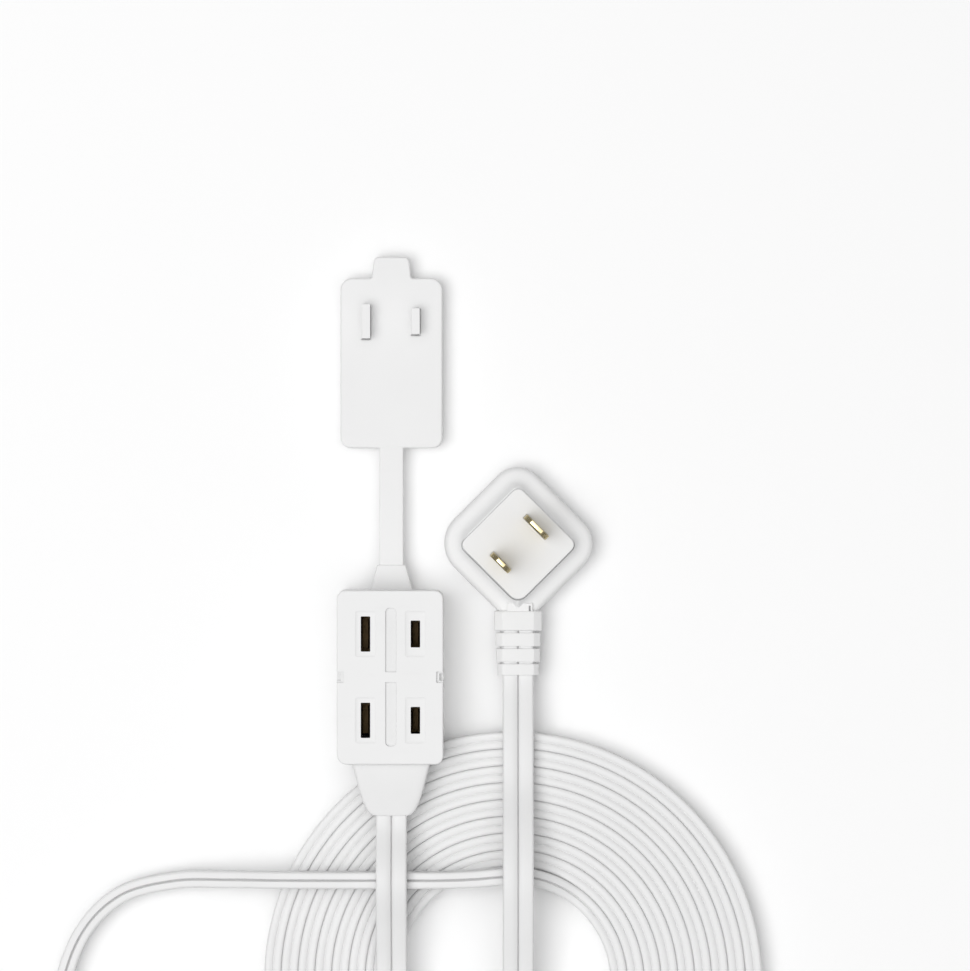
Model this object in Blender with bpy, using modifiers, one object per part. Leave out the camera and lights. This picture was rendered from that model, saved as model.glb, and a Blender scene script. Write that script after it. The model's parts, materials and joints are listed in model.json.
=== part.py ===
"""Household extension cord: a two-outlet block with a tethered fold-over safety cover, a flat plug, and a
pancake coil of flat two-conductor cord.

Units are metres and +Z is up.  Everything lies on the plane z = 0.  The origin is under the middle of the
outlet block, its strap and its cover; +Y runs from the block to the cover, and the outlets face +Z.
"""

import math

import bmesh
import bpy
from mathutils import Matrix, Vector

MM = 0.001
GAP = 0.3 * MM                       # left between touching pieces

# Cord: flat, two conductors side by side
CORD_WIDTH = 7.85 * MM
CORD_THICKNESS = 4.2 * MM
CORD_RADIUS = CORD_THICKNESS / 2
CONDUCTOR_OFFSET = 1.9 * MM
CONDUCTOR_RADIUS = 1.05 * MM

# Outlet spacing of a two-blade household outlet
BLADE_OFFSET = 6.35 * MM             # from the outlet's centre line to a blade
NEUTRAL_SIDE = -1
HOT_SIDE = 1

# Outlet block
BLOCK_WIDTH = 26.9 * MM
BLOCK_TOP = 20.0 * MM
BLOCK_START = -13.8 * MM             # the end that the strap leaves
BLOCK_END = -57.8 * MM               # the end that the cord leaves
SHELL_SPLIT = 8.6 * MM
SHELL_WALL = 2.1 * MM
FACE_THICKNESS = 2.8 * MM
FLOOR_THICKNESS = 2.0 * MM
CAVITY_END = -50.9 * MM
BLOCK_CORNER = 2.0 * MM
BLOCK_CORD_CORNER = 3.0 * MM
OUTLET_CENTRES = {"upper": -24.8 * MM, "lower": -46.6 * MM}
SLOT_WIDTH = 2.4 * MM
SLOT_LENGTH = {NEUTRAL_SIDE: 8.9 * MM, HOT_SIDE: 6.9 * MM}
RECESS_SIZE = (5.0 * MM, 11.9 * MM)
RECESS_DEPTH = 0.35 * MM
CHANNEL_SIZE = (2.9 * MM, 16.2 * MM)
CHANNEL_DEPTH = 0.35 * MM
CHANNEL_GAP = 2.6 * MM               # between the two channels on the block's front
CHANNEL_MIDDLE = -35.7 * MM
WINDOW_SIZE = (1.6 * MM, 2.9 * MM)   # snap windows in the block's long edges
WINDOW_FLOOR = 14.5 * MM
SHELL_EDGE = 0.45 * MM

# Inside the block: bus bars, female contacts, crimps and conductors
BUS_LOW = FLOOR_THICKNESS + GAP
BUS_THICKNESS = 0.8 * MM
BUS_NEAR = 3.4 * MM                  # a bus bar's inner and outer edges, from the centre line
BUS_FAR = 9.4 * MM
BUS_START = -20.0 * MM
BUS_END = -50.0 * MM
BUS_TAB_NEAR = 0.9 * MM              # the tab under the crimp reaches this close to the centre line
BUS_TAB_HALF = 4.0 * MM
CLIP_LOW = BUS_LOW + BUS_THICKNESS + GAP
CLIP_TOP = 14.6 * MM
CLIP_LEAF = 0.5 * MM
CLIP_HALF_GAP = 1.15 * MM
CLIP_NIP = 0.45 * MM                 # how far the leaves bend in to grip a blade
CLIP_NECK = CLIP_TOP - 2.2 * MM
CLIP_BEND = CLIP_NECK - 3.0 * MM
CLIP_FLARE = 0.3 * MM                # how far the leaves' tips bend out
CLIP_SHORTER = 1.4 * MM              # than its slot
CRIMP_MIDDLE = -35.7 * MM
CRIMP_LENGTH = 5.0 * MM
CRIMP_OUTER = 1.9 * MM
CRIMP_INNER = CONDUCTOR_RADIUS + GAP
CRIMP_OFFSET = 2.55 * MM
CONDUCTOR_POINTS = 12

# Strap, anchor and safety cover: one soft moulding, split where it bends
COVER_WIDTH = 26.2 * MM
COVER_START = 22.2 * MM
COVER_LENGTH = 43.2 * MM
COVER_THICKNESS = 6.4 * MM
COVER_CORNER = 3.0 * MM
TAB_END = 70.8 * MM
TAB_HALF_WIDTH = (4.9 * MM, 4.4 * MM)    # at the cover and at its end
TAB_THICKNESS = 3.6 * MM
TAB_CORNER = 1.5 * MM
COVER_EDGE = 0.6 * MM
FLUSH_STEP = 0.03 * MM               # keeps surfaces that look flush from coinciding
STRAP_WIDTH = 5.9 * MM
STRAP_THICKNESS = 2.4 * MM
STRAP_PLANE = COVER_THICKNESS - STRAP_THICKNESS / 2
ANCHOR_LENGTH = 6.35 * MM
ANCHOR_HALF_WIDTH = 5.5 * MM
ANCHOR_END_HALF_WIDTH = 3.9 * MM
ANCHOR_STEP = 0.6 * MM               # length of the step from the anchor down to the strap's width
ANCHOR_SWELL = 0.8 * MM              # how much thicker each face is at the block
TONGUE_HALF_WIDTH = 4.2 * MM         # the tongue through the back shell's end wall
TONGUE_SWELL = 0.6 * MM
COVER_ALIGN = 0.6 * MM               # the cover's edge passes the block's edge by this when closed
BEND_LIMIT = math.radians(60)        # three equal bends make the half turn
BEND_CLEARANCE = 0.1 * MM
PRONG_HEIGHT = 5.0 * MM
PRONG_WIDTH = 1.9 * MM
PRONG_CORNER = 0.5 * MM
PRONG_LENGTH = {NEUTRAL_SIDE: 8.0 * MM, HOT_SIDE: 6.0 * MM}

# Folded shut, the cover's face lies a gap above the block's face
FOLD_RISE = BLOCK_TOP + GAP + COVER_THICKNESS - 2 * STRAP_PLANE
LINK_LENGTH = FOLD_RISE / (2 * math.sin(BEND_LIMIT))
HINGE_SUM = COVER_START - BLOCK_START - 2 * LINK_LENGTH
FIRST_HINGE = BLOCK_START + (HINGE_SUM - COVER_ALIGN) / 2
HINGES = [FIRST_HINGE + step * LINK_LENGTH for step in range(3)]
PRONG_CENTRE = HINGES[0] + HINGES[2] - OUTLET_CENTRES["lower"]

# Outlet strain relief
RELIEF_HEIGHT = 14.2 * MM            # the cord's middle where it leaves the block
RELIEF_TOP_HALF_WIDTH = 9.7 * MM
RELIEF_MID_HALF_WIDTH = 8.4 * MM
RELIEF_END_HALF_WIDTH = 4.95 * MM
RELIEF_MID = -64.0 * MM
RELIEF_END = -70.8 * MM
RELIEF_THICKNESS = 7.4 * MM
RELIEF_END_THICKNESS = 5.2 * MM
RELIEF_TAPER_LENGTH = 11.5 * MM
RELIEF_EDGE = 0.5 * MM
SHANK_HALF_WIDTH = 5.4 * MM
SHANK_THICKNESS = 4.8 * MM

# Plug
PLUG_CENTRE = Vector((32.4 * MM, -2.3 * MM, 0))
DIAGONAL = Matrix.Translation(PLUG_CENTRE) @ Matrix.Rotation(math.radians(45), 4, "Z")
FLANGE_HALF = 15.75 * MM
FLANGE_CORNER = 8.4 * MM
FLANGE_TOP = 10.4 * MM
PLATEAU_HALF = 10.5 * MM
PLATEAU_TOP = 12.0 * MM
PLATEAU_CORNER = 0.9 * MM
CARRIER_HALF = 8.6 * MM
PLUG_CAVITY_FLOOR = 2.4 * MM
BLADE_THICKNESS = 1.5 * MM
BLADE_WIDTH = {NEUTRAL_SIDE: 7.9 * MM, HOT_SIDE: 6.35 * MM}
BLADE_HEIGHT = 17.0 * MM
BLADE_FOOT = 8.4 * MM
PLUG_CORD_HEIGHT = 7.2 * MM
COLLAR_START = -19.2 * MM
PLUG_RELIEF_END = -35.5 * MM
COLLAR_HALF_WIDTH = 6.1 * MM
COLLAR_THICKNESS = 7.2 * MM
COLLAR_END = -24.0 * MM
COLLAR_CORNER = 0.8 * MM
RELIEF_BANDS = [                     # start and end along Y, and half width
    (-24.6 * MM, -27.9 * MM, 6.0 * MM),
    (-28.7 * MM, -31.9 * MM, 5.75 * MM),
    (-32.6 * MM, -35.5 * MM, 5.2 * MM),
]
BAND_STEP = 0.2 * MM                 # how much lower than the collar the bands are
BAND_CORNER = 0.7 * MM
PLUG_CORE_HALF_WIDTH = 3.9 * MM
PLUG_CORE_HALF_HEIGHT = 2.3 * MM
PLUG_SHANK_HEIGHTS = (-1.9 * MM, 1.7 * MM)    # from the cord's middle
PLUG_SHANK_REACH = 4.1 * MM          # past the collar, into the plug
FLANGE_EDGE = 1.3 * MM
PLATEAU_EDGE = 0.3 * MM
BLADE_EDGE = 0.35 * MM
BOSS_HALF_HEIGHT = 0.9 * MM

# The plug's wiring in plan, in millimetres from the plug's middle: past the hot blade's edge, to each crimp
PLUG_WIRE_PLAN = {
    NEUTRAL_SIDE: [(1.9, -12.5), (2.1, -10.6), (2.5, -7.0), (2.5, -3.6), (2.5, -1.0), (2.5, 1.2)],
    HOT_SIDE: [(-1.9, -12.5), (-1.5, -10.6), (-0.3, -7.2), (-0.7, -4.2), (-1.1, -2.0), (-1.1, 0.4)],
}
PLUG_WIRE_DROP = (0.0, 0.05, 0.45, 0.9, 1.0, 1.0)     # share of the way down from the cord to the crimp
PLUG_WIRE_RADIUS = 0.85 * MM
PLUG_CRIMP_OUTER = 1.7 * MM
PLUG_CRIMP_LENGTH = 3.6 * MM

# Coil
COIL_CENTRE = Vector((30.1 * MM, -113.2 * MM, 0))
COIL_INNER = 25.4 * MM
COIL_OUTER = 63.6 * MM
COIL_CLEARANCE = 0.7 * MM

# Routes of the cord outside the coil, by hand, in millimetres
OUTLET_ROUTE = [
    (0, -71.1, 14.2), (0, -75.5, 14.6), (0, -87.2, 18.3), (0, -99, 14.2), (0, -110, 11.0),
    (0, -124, 10.4), (0, -140, 10.4), (0, -156, 10.5), (-0.8, -168, 10.4), (-4, -180.5, 7.0),
    (-13.5, -193, 4.3), (-30, -201.5, 3.93), (-48, -202, 3.93), (-65, -193.5, 3.93), (-77.5, -178, 3.93),
    (-84, -159, 3.93), (-86, -139, 3.93), (-84.5, -119, 3.93), (-79, -102, 3.93), (-69, -91.6, 3.93),
    (-55, -87.6, 4.5), (-41, -87.1, 7.6), (-29, -87.1, 10.8), (-17, -87.1, 12.0), (0, -87.1, 12.0),
    (16, -87.1, 12.0), (29, -86.2, 12.0), (41, -88.6, 11.4), (49.5, -94.5, 10.4),
]
PLUG_ROUTE = [
    (32.4, -35.8, 7.2), (32.4, -40, 7.6), (32.4, -52, 10.2), (32.4, -64, 11.4), (32.4, -76, 16.2),
    (32.4, -86.5, 18.4), (32.4, -97, 16.4), (32.4, -111, 12.4), (32.4, -127, 10.6), (32.4, -144, 10.4),
    (32.4, -160, 10.5), (32.6, -175, 10.3), (35.5, -187, 6.9), (44, -194.5, 4.4), (55, -191.5, 3.93),
    (65, -179.5, 3.93), (73.5, -169, 3.93), (80.5, -158, 3.93), (86.5, -147.5, 3.93),
]
TUBE_POINTS = {"outlet_cord_run": 78, "plug_cord_run": 48}
TUBE_RESOLUTION = 2

WHITE = (0.86, 0.86, 0.85, 1)
BRASS = (0.78, 0.57, 0.27, 1)
BLACK = (0.1, 0.1, 0.1, 1)


# ---------------------------------------------------------------- scene and materials

def clear_scene():
    for item in list(bpy.data.objects):
        bpy.data.objects.remove(item)


def new_collection(name):
    group = bpy.data.collections.new(name)
    bpy.context.scene.collection.children.link(group)
    return group


def make_material(name, colour, roughness, metallic=0.0):
    material = bpy.data.materials.new(name)
    material.use_nodes = True
    shader = material.node_tree.nodes["Principled BSDF"]
    shader.inputs["Base Color"].default_value = colour
    shader.inputs["Roughness"].default_value = roughness
    shader.inputs["Metallic"].default_value = metallic
    material.diffuse_color = colour
    return material


def link(item, group):
    for old in list(item.users_collection):
        old.objects.unlink(item)
    group.objects.link(item)
    return item


def dress(item, colour, roughness, metallic=0.0):
    item.data.materials.clear()
    item.data.materials.append(make_material(item.name, colour, roughness, metallic))
    item.data.shade_smooth()
    item.data.set_sharp_from_angle(angle=math.radians(35))
    return item


# ---------------------------------------------------------------- outlines

def arc(centre, radius, start, end, steps):
    """Points of an arc, its angles in degrees, both ends included."""
    turn = (end - start) / steps
    angles = [math.radians(start + turn * step) for step in range(steps + 1)]
    return [(centre[0] + radius * math.cos(a), centre[1] + radius * math.sin(a)) for a in angles]


def rounded_box(low, high, radii, steps=5):
    """A rectangle's outline, anticlockwise from its low-x low-y corner, with a radius for each corner."""
    corners = [
        (low[0], low[1], 1, 1, 180), (high[0], low[1], -1, 1, 270),
        (high[0], high[1], -1, -1, 0), (low[0], high[1], 1, -1, 90),
    ]
    points = []
    for (x, y, inward_x, inward_y, angle), radius in zip(corners, radii):
        centre = (x + inward_x * radius, y + inward_y * radius)
        points += arc(centre, radius, angle, angle + 90, steps)
    return points


def centred_box(centre, size, radius, steps=3):
    low = (centre[0] - size[0] / 2, centre[1] - size[1] / 2)
    high = (centre[0] + size[0] / 2, centre[1] + size[1] / 2)
    return rounded_box(low, high, [radius] * 4, steps)


# ---------------------------------------------------------------- solids

def as_mesh(item, group):
    """Turn a curve object into a mesh object with its caps welded."""
    evaluated = item.evaluated_get(bpy.context.evaluated_depsgraph_get())
    mesh = bpy.data.meshes.new_from_object(evaluated)
    welded = bmesh.new()
    welded.from_mesh(mesh)
    bmesh.ops.remove_doubles(welded, verts=welded.verts, dist=0.00001)
    bmesh.ops.recalc_face_normals(welded, faces=welded.faces)
    welded.to_mesh(mesh)
    welded.free()
    solid = bpy.data.objects.new(item.name + "_mesh", mesh)
    solid.matrix_world = item.matrix_world.copy()
    name = item.name
    curve = item.data
    bpy.data.objects.remove(item)
    bpy.data.curves.remove(curve)
    solid.name = name
    mesh.name = name
    group.objects.link(solid)
    return solid


def slab(name, outline, low, high, group):
    """A flat outline in the XY plane, made solid between two heights."""
    curve = bpy.data.curves.new(name, "CURVE")
    curve.dimensions = "2D"
    curve.fill_mode = "BOTH"
    curve.extrude = (high - low) / 2
    spline = curve.splines.new("POLY")
    spline.points.add(len(outline) - 1)
    for point, (x, y) in zip(spline.points, outline):
        point.co = (x, y, 0, 1)
    spline.use_cyclic_u = True
    item = bpy.data.objects.new(name, curve)
    item.location.z = (low + high) / 2
    bpy.context.scene.collection.objects.link(item)
    bpy.context.view_layer.update()
    return as_mesh(item, group)


def side_slab(name, profile, low, high, group):
    """A profile in the YZ plane, made solid between two places along X."""
    item = slab(name, profile, low, high, group)
    turn = Matrix(((0, 0, 1, 0), (1, 0, 0, 0), (0, 1, 0, 0), (0, 0, 0, 1)))
    item.matrix_world = turn @ item.matrix_world
    return item


def box(name, low, high, group):
    mesh = bpy.data.meshes.new(name)
    shape = bmesh.new()
    bmesh.ops.create_cube(shape, size=1)
    size = Vector(high) - Vector(low)
    middle = (Vector(high) + Vector(low)) / 2
    matrix = Matrix.Translation(middle) @ Matrix.Diagonal((*size, 1))
    bmesh.ops.transform(shape, matrix=matrix, verts=shape.verts)
    shape.to_mesh(mesh)
    shape.free()
    item = bpy.data.objects.new(name, mesh)
    group.objects.link(item)
    return item


def turned_ring(name, inner, outer, low, high, steps, round_edge, group):
    """A ring about Z from a chamfered rectangular profile, turned with a Screw modifier."""
    profile = [
        (outer - round_edge, high), (outer, high - round_edge), (outer, low + round_edge),
        (outer - round_edge, low), (inner + round_edge, low), (inner, low + round_edge),
        (inner, high - round_edge), (inner + round_edge, high),
    ]
    mesh = bpy.data.meshes.new(name)
    shape = bmesh.new()
    corners = [shape.verts.new((x, 0, z)) for x, z in profile]
    for here, there in zip(corners, corners[1:] + corners[:1]):
        shape.edges.new((here, there))
    shape.to_mesh(mesh)
    shape.free()
    item = bpy.data.objects.new(name, mesh)
    group.objects.link(item)
    screw = item.modifiers.new("turn", "SCREW")
    screw.angle = 2 * math.pi
    screw.steps = steps
    screw.render_steps = steps
    screw.use_merge_vertices = True
    screw.merge_threshold = 0.00001
    screw.use_normal_calculate = True
    return item


def turned_disc(name, radius, low, high, steps, group):
    mesh = bpy.data.meshes.new(name)
    shape = bmesh.new()
    bmesh.ops.create_cone(shape, cap_ends=True, segments=steps, radius1=radius, radius2=radius,
                          depth=high - low)
    bmesh.ops.translate(shape, verts=shape.verts, vec=(0, 0, (high + low) / 2))
    shape.to_mesh(mesh)
    shape.free()
    item = bpy.data.objects.new(name, mesh)
    group.objects.link(item)
    return item


def smooth_route(route, count):
    """Points along a Catmull-Rom curve through a route in millimetres, at even spacing along it."""
    knots = [Vector(point) * MM for point in route]
    knots = [2 * knots[0] - knots[1]] + knots + [2 * knots[-1] - knots[-2]]
    fine = []
    for a, b, c, d in zip(knots, knots[1:], knots[2:], knots[3:]):
        for step in range(24):
            t = step / 24
            fine.append(0.5 * (2 * b + (c - a) * t + (2 * a - 5 * b + 4 * c - d) * t ** 2
                               + (3 * b - a - 3 * c + d) * t ** 3))
    fine.append(knots[-2])
    travel = [0.0]
    for here, there in zip(fine, fine[1:]):
        travel.append(travel[-1] + (there - here).length)
    points = []
    place = 0
    for step in range(count):
        target = travel[-1] * step / (count - 1)
        while place < len(fine) - 2 and travel[place + 1] < target:
            place += 1
        share = (target - travel[place]) / (travel[place + 1] - travel[place])
        points.append(fine[place].lerp(fine[place + 1], share))
    return points


def tube(name, points, radius, group, resolution=TUBE_RESOLUTION):
    curve = bpy.data.curves.new(name, "CURVE")
    curve.dimensions = "3D"
    curve.bevel_depth = radius
    curve.bevel_resolution = resolution
    curve.use_fill_caps = True
    curve.resolution_u = 1
    spline = curve.splines.new("POLY")
    spline.points.add(len(points) - 1)
    for point, place in zip(spline.points, points):
        point.co = (*place, 1)
    item = bpy.data.objects.new(name, curve)
    bpy.context.scene.collection.objects.link(item)
    bpy.context.view_layer.update()
    return as_mesh(item, group)


def combine(item, tool, operation):
    modifier = item.modifiers.new(operation.lower() + "_" + tool.name, "BOOLEAN")
    modifier.operation = operation
    modifier.object = tool
    modifier.solver = "EXACT"
    tool.hide_render = True
    tool.display_type = "WIRE"


def cut(item, *tools):
    for tool in tools:
        combine(item, tool, "DIFFERENCE")


def join(item, *tools):
    for tool in tools:
        combine(item, tool, "UNION")


def soften(item, width, segments=1):
    bevel = item.modifiers.new("soft_edges", "BEVEL")
    bevel.width = width
    bevel.segments = segments
    bevel.limit_method = "ANGLE"
    bevel.angle_limit = math.radians(50)
    bevel.use_clamp_overlap = True


def apply_modifiers(item):
    """Bake an object's modifiers into its mesh, so it can be a cutter's or a bevel's clean start."""
    bpy.context.view_layer.update()
    evaluated = item.evaluated_get(bpy.context.evaluated_depsgraph_get())
    mesh = bpy.data.meshes.new_from_object(evaluated)
    item.modifiers.clear()
    item.data = mesh
    return item


# ---------------------------------------------------------------- outlet block

def block_outline(inset=0.0):
    half = BLOCK_WIDTH / 2 - inset
    low = (-half, BLOCK_END + inset)
    high = (half, BLOCK_START - inset)
    radii = [BLOCK_CORD_CORNER, BLOCK_CORNER, BLOCK_CORNER, BLOCK_CORNER]
    return rounded_box(low, high, radii, 4)


def cavity_outline():
    half = BLOCK_WIDTH / 2 - SHELL_WALL
    return rounded_box((-half, CAVITY_END), (half, BLOCK_START - SHELL_WALL), [1.0 * MM] * 4, 2)


def build_front_shell(parts, tools):
    shell = slab("outlet_front_shell", block_outline(), SHELL_SPLIT + GAP / 2, BLOCK_TOP, parts)
    soften(shell, SHELL_EDGE, 2)
    apply_modifiers(shell)
    hollow = slab("front_hollow", cavity_outline(), SHELL_SPLIT - MM, BLOCK_TOP - FACE_THICKNESS, tools)
    cut(shell, hollow)
    for outlet, centre_y in OUTLET_CENTRES.items():
        for side, length in SLOT_LENGTH.items():
            place = (side * BLADE_OFFSET, centre_y)
            size = (SLOT_WIDTH, length)
            slot = slab(f"slot_{outlet}_{side}", centred_box(place, size, 0.3 * MM, 1),
                        BLOCK_TOP - 2 * FACE_THICKNESS, BLOCK_TOP + MM, tools)
            recess = slab(f"recess_{outlet}_{side}", centred_box(place, RECESS_SIZE, 0.4 * MM, 1),
                          BLOCK_TOP - RECESS_DEPTH, BLOCK_TOP + MM, tools)
            cut(shell, recess, slot)
    for direction in (-1, 1):
        middle = CHANNEL_MIDDLE + direction * (CHANNEL_GAP + CHANNEL_SIZE[1]) / 2
        channel = slab(f"channel_{direction}", centred_box((0, middle), CHANNEL_SIZE, 1.0 * MM, 2),
                       BLOCK_TOP - CHANNEL_DEPTH, BLOCK_TOP + MM, tools)
        cut(shell, channel)
    for side in (-1, 1):
        edge = side * BLOCK_WIDTH / 2
        reach, half = WINDOW_SIZE[0], WINDOW_SIZE[1] / 2
        window = box(f"window_{side}", (edge - reach, CHANNEL_MIDDLE - half, WINDOW_FLOOR),
                     (edge + reach, CHANNEL_MIDDLE + half, BLOCK_TOP + MM), tools)
        cut(shell, window)
    half_height = SHANK_THICKNESS / 2 + GAP
    passage = box("cord_passage", (-SHANK_HALF_WIDTH - GAP, BLOCK_END - MM, RELIEF_HEIGHT - half_height),
                  (SHANK_HALF_WIDTH + GAP, CAVITY_END + MM, RELIEF_HEIGHT + half_height), tools)
    cut(shell, passage)
    return dress(shell, WHITE, 0.42)


def build_back_shell(parts, tools):
    shell = slab("outlet_back_shell", block_outline(), 0, SHELL_SPLIT - GAP / 2, parts)
    soften(shell, SHELL_EDGE, 2)
    apply_modifiers(shell)
    hollow = slab("back_hollow", cavity_outline(), FLOOR_THICKNESS, SHELL_SPLIT + MM, tools)
    scoop = turned_disc("coil_scoop", COIL_OUTER + COIL_CLEARANCE, -MM, SHELL_SPLIT + MM, 96, tools)
    scoop.location = COIL_CENTRE
    half = STRAP_THICKNESS / 2 + TONGUE_SWELL + GAP
    reach = TONGUE_HALF_WIDTH + GAP
    mouth = box("anchor_mouth", (-reach, BLOCK_START - SHELL_WALL - MM, STRAP_PLANE - half),
                (reach, BLOCK_START + MM, STRAP_PLANE + half), tools)
    cut(shell, hollow, scoop, mouth)
    return dress(shell, WHITE, 0.45)


def side_name(side):
    return "neutral" if side == NEUTRAL_SIDE else "hot"


def build_bus_bar(side, parts):
    outline = [
        (BUS_NEAR, BUS_END), (BUS_FAR, BUS_END), (BUS_FAR, BUS_START), (BUS_NEAR, BUS_START),
        (BUS_NEAR, CRIMP_MIDDLE + BUS_TAB_HALF), (BUS_TAB_NEAR, CRIMP_MIDDLE + BUS_TAB_HALF),
        (BUS_TAB_NEAR, CRIMP_MIDDLE - BUS_TAB_HALF), (BUS_NEAR, CRIMP_MIDDLE - BUS_TAB_HALF),
    ]
    outline = [(side * x, y) for x, y in outline]
    bar = slab(f"{side_name(side)}_bus_bar", outline, BUS_LOW, BUS_LOW + BUS_THICKNESS, parts)
    return dress(bar, BRASS, 0.32, 1.0)


def build_clip(side, outlet, centre_y, parts):
    """A female contact: two leaves on a base, bent in near the top to grip a blade."""
    outer = CLIP_HALF_GAP + CLIP_LEAF
    nip = CLIP_HALF_GAP - CLIP_NIP
    tip = outer + CLIP_FLARE
    right = [
        (outer, CLIP_LOW), (outer, CLIP_BEND), (nip + CLIP_LEAF, CLIP_NECK), (tip, CLIP_TOP),
        (tip - CLIP_LEAF, CLIP_TOP), (nip, CLIP_NECK), (CLIP_HALF_GAP, CLIP_BEND),
        (CLIP_HALF_GAP, CLIP_LOW + CLIP_LEAF),
    ]
    left = [(-x, z) for x, z in reversed(right)]
    length = SLOT_LENGTH[side] - CLIP_SHORTER
    name = f"{side_name(side)}_clip_{outlet}"
    clip = slab(name, right + left, -length / 2, length / 2, parts)
    clip.matrix_world = (Matrix.Translation((side * BLADE_OFFSET, centre_y, 0))
                         @ Matrix.Rotation(math.radians(90), 4, "X"))
    return dress(clip, BRASS, 0.3, 1.0)


def build_crimp(name, centre, direction, length, outer, inner, parts):
    """A short sleeve round a conductor's end, its bore along a direction."""
    sleeve = turned_ring(name, inner, outer, -length / 2, length / 2, 14, 0.12 * MM, parts)
    turn = Vector(direction).to_track_quat("Z", "Y").to_matrix().to_4x4()
    sleeve.matrix_world = Matrix.Translation(centre) @ turn
    return dress(sleeve, BRASS, 0.36, 1.0)


def build_outlet_wiring(side, parts):
    crimp_height = CLIP_LOW + CRIMP_OUTER
    centre = Vector((side * CRIMP_OFFSET, CRIMP_MIDDLE, crimp_height))
    build_crimp(f"{side_name(side)}_crimp", centre, (0, 1, 0), CRIMP_LENGTH, CRIMP_OUTER, CRIMP_INNER, parts)
    edge = CRIMP_MIDDLE - CRIMP_LENGTH / 2
    x = side * CRIMP_OFFSET / MM
    start = side * CONDUCTOR_OFFSET / MM
    high = RELIEF_HEIGHT / MM
    low = crimp_height / MM
    route = [
        (start, CAVITY_END / MM + GAP / MM, high), (start, CAVITY_END / MM + 2.5, high - 0.6),
        (x, (CAVITY_END + edge) / 2 / MM, (high + low) / 2), (x, edge / MM - 2.5, low + 0.5),
        (x, edge / MM, low), (x, CRIMP_MIDDLE / MM + 1.5, low),
    ]
    points = smooth_route(route, CONDUCTOR_POINTS)
    wire = tube(f"outlet_{side_name(side)}_conductor", points, CONDUCTOR_RADIUS, parts)
    return dress(wire, WHITE if side == NEUTRAL_SIDE else BLACK, 0.5)


def build_outlet_relief(parts, tools):
    top = BLOCK_END - GAP
    outline = [
        (-RELIEF_TOP_HALF_WIDTH, top), (-RELIEF_TOP_HALF_WIDTH, top - 0.8 * MM),
        (-RELIEF_MID_HALF_WIDTH, RELIEF_MID), (-RELIEF_END_HALF_WIDTH - 1.5 * MM, RELIEF_MID - 2.4 * MM),
        (-RELIEF_END_HALF_WIDTH, RELIEF_END + 1.2 * MM), (-RELIEF_END_HALF_WIDTH + 0.5 * MM, RELIEF_END),
    ]
    outline = outline + [(-x, y) for x, y in reversed(outline)]
    half = RELIEF_THICKNESS / 2
    relief = slab("outlet_strain_relief", outline, RELIEF_HEIGHT - half, RELIEF_HEIGHT + half, parts)
    tilt = math.atan2((RELIEF_THICKNESS - RELIEF_END_THICKNESS) / 2, RELIEF_TAPER_LENGTH)
    reach, deep = RELIEF_TOP_HALF_WIDTH + 2.3 * MM, 4 * MM
    for sign in (-1, 1):
        face = RELIEF_HEIGHT + sign * half
        shave = box(f"relief_shave_{sign}", (-reach, -16 * MM, 0), (reach, 0, deep), tools)
        shave.matrix_world = (Matrix.Translation((0, BLOCK_END - 1.5 * MM, face))
                              @ Matrix.Rotation(sign * tilt, 4, "X")
                              @ Matrix.Translation((0, 0, 0 if sign > 0 else -deep)))
        cut(relief, shave)
    shank = box("relief_shank", (-SHANK_HALF_WIDTH, top - MM, RELIEF_HEIGHT - SHANK_THICKNESS / 2),
                (SHANK_HALF_WIDTH, CAVITY_END - 0.1 * MM, RELIEF_HEIGHT + SHANK_THICKNESS / 2), tools)
    join(relief, shank)
    soften(relief, RELIEF_EDGE, 2)
    return dress(relief, WHITE, 0.5)


# ---------------------------------------------------------------- strap and safety cover

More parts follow.
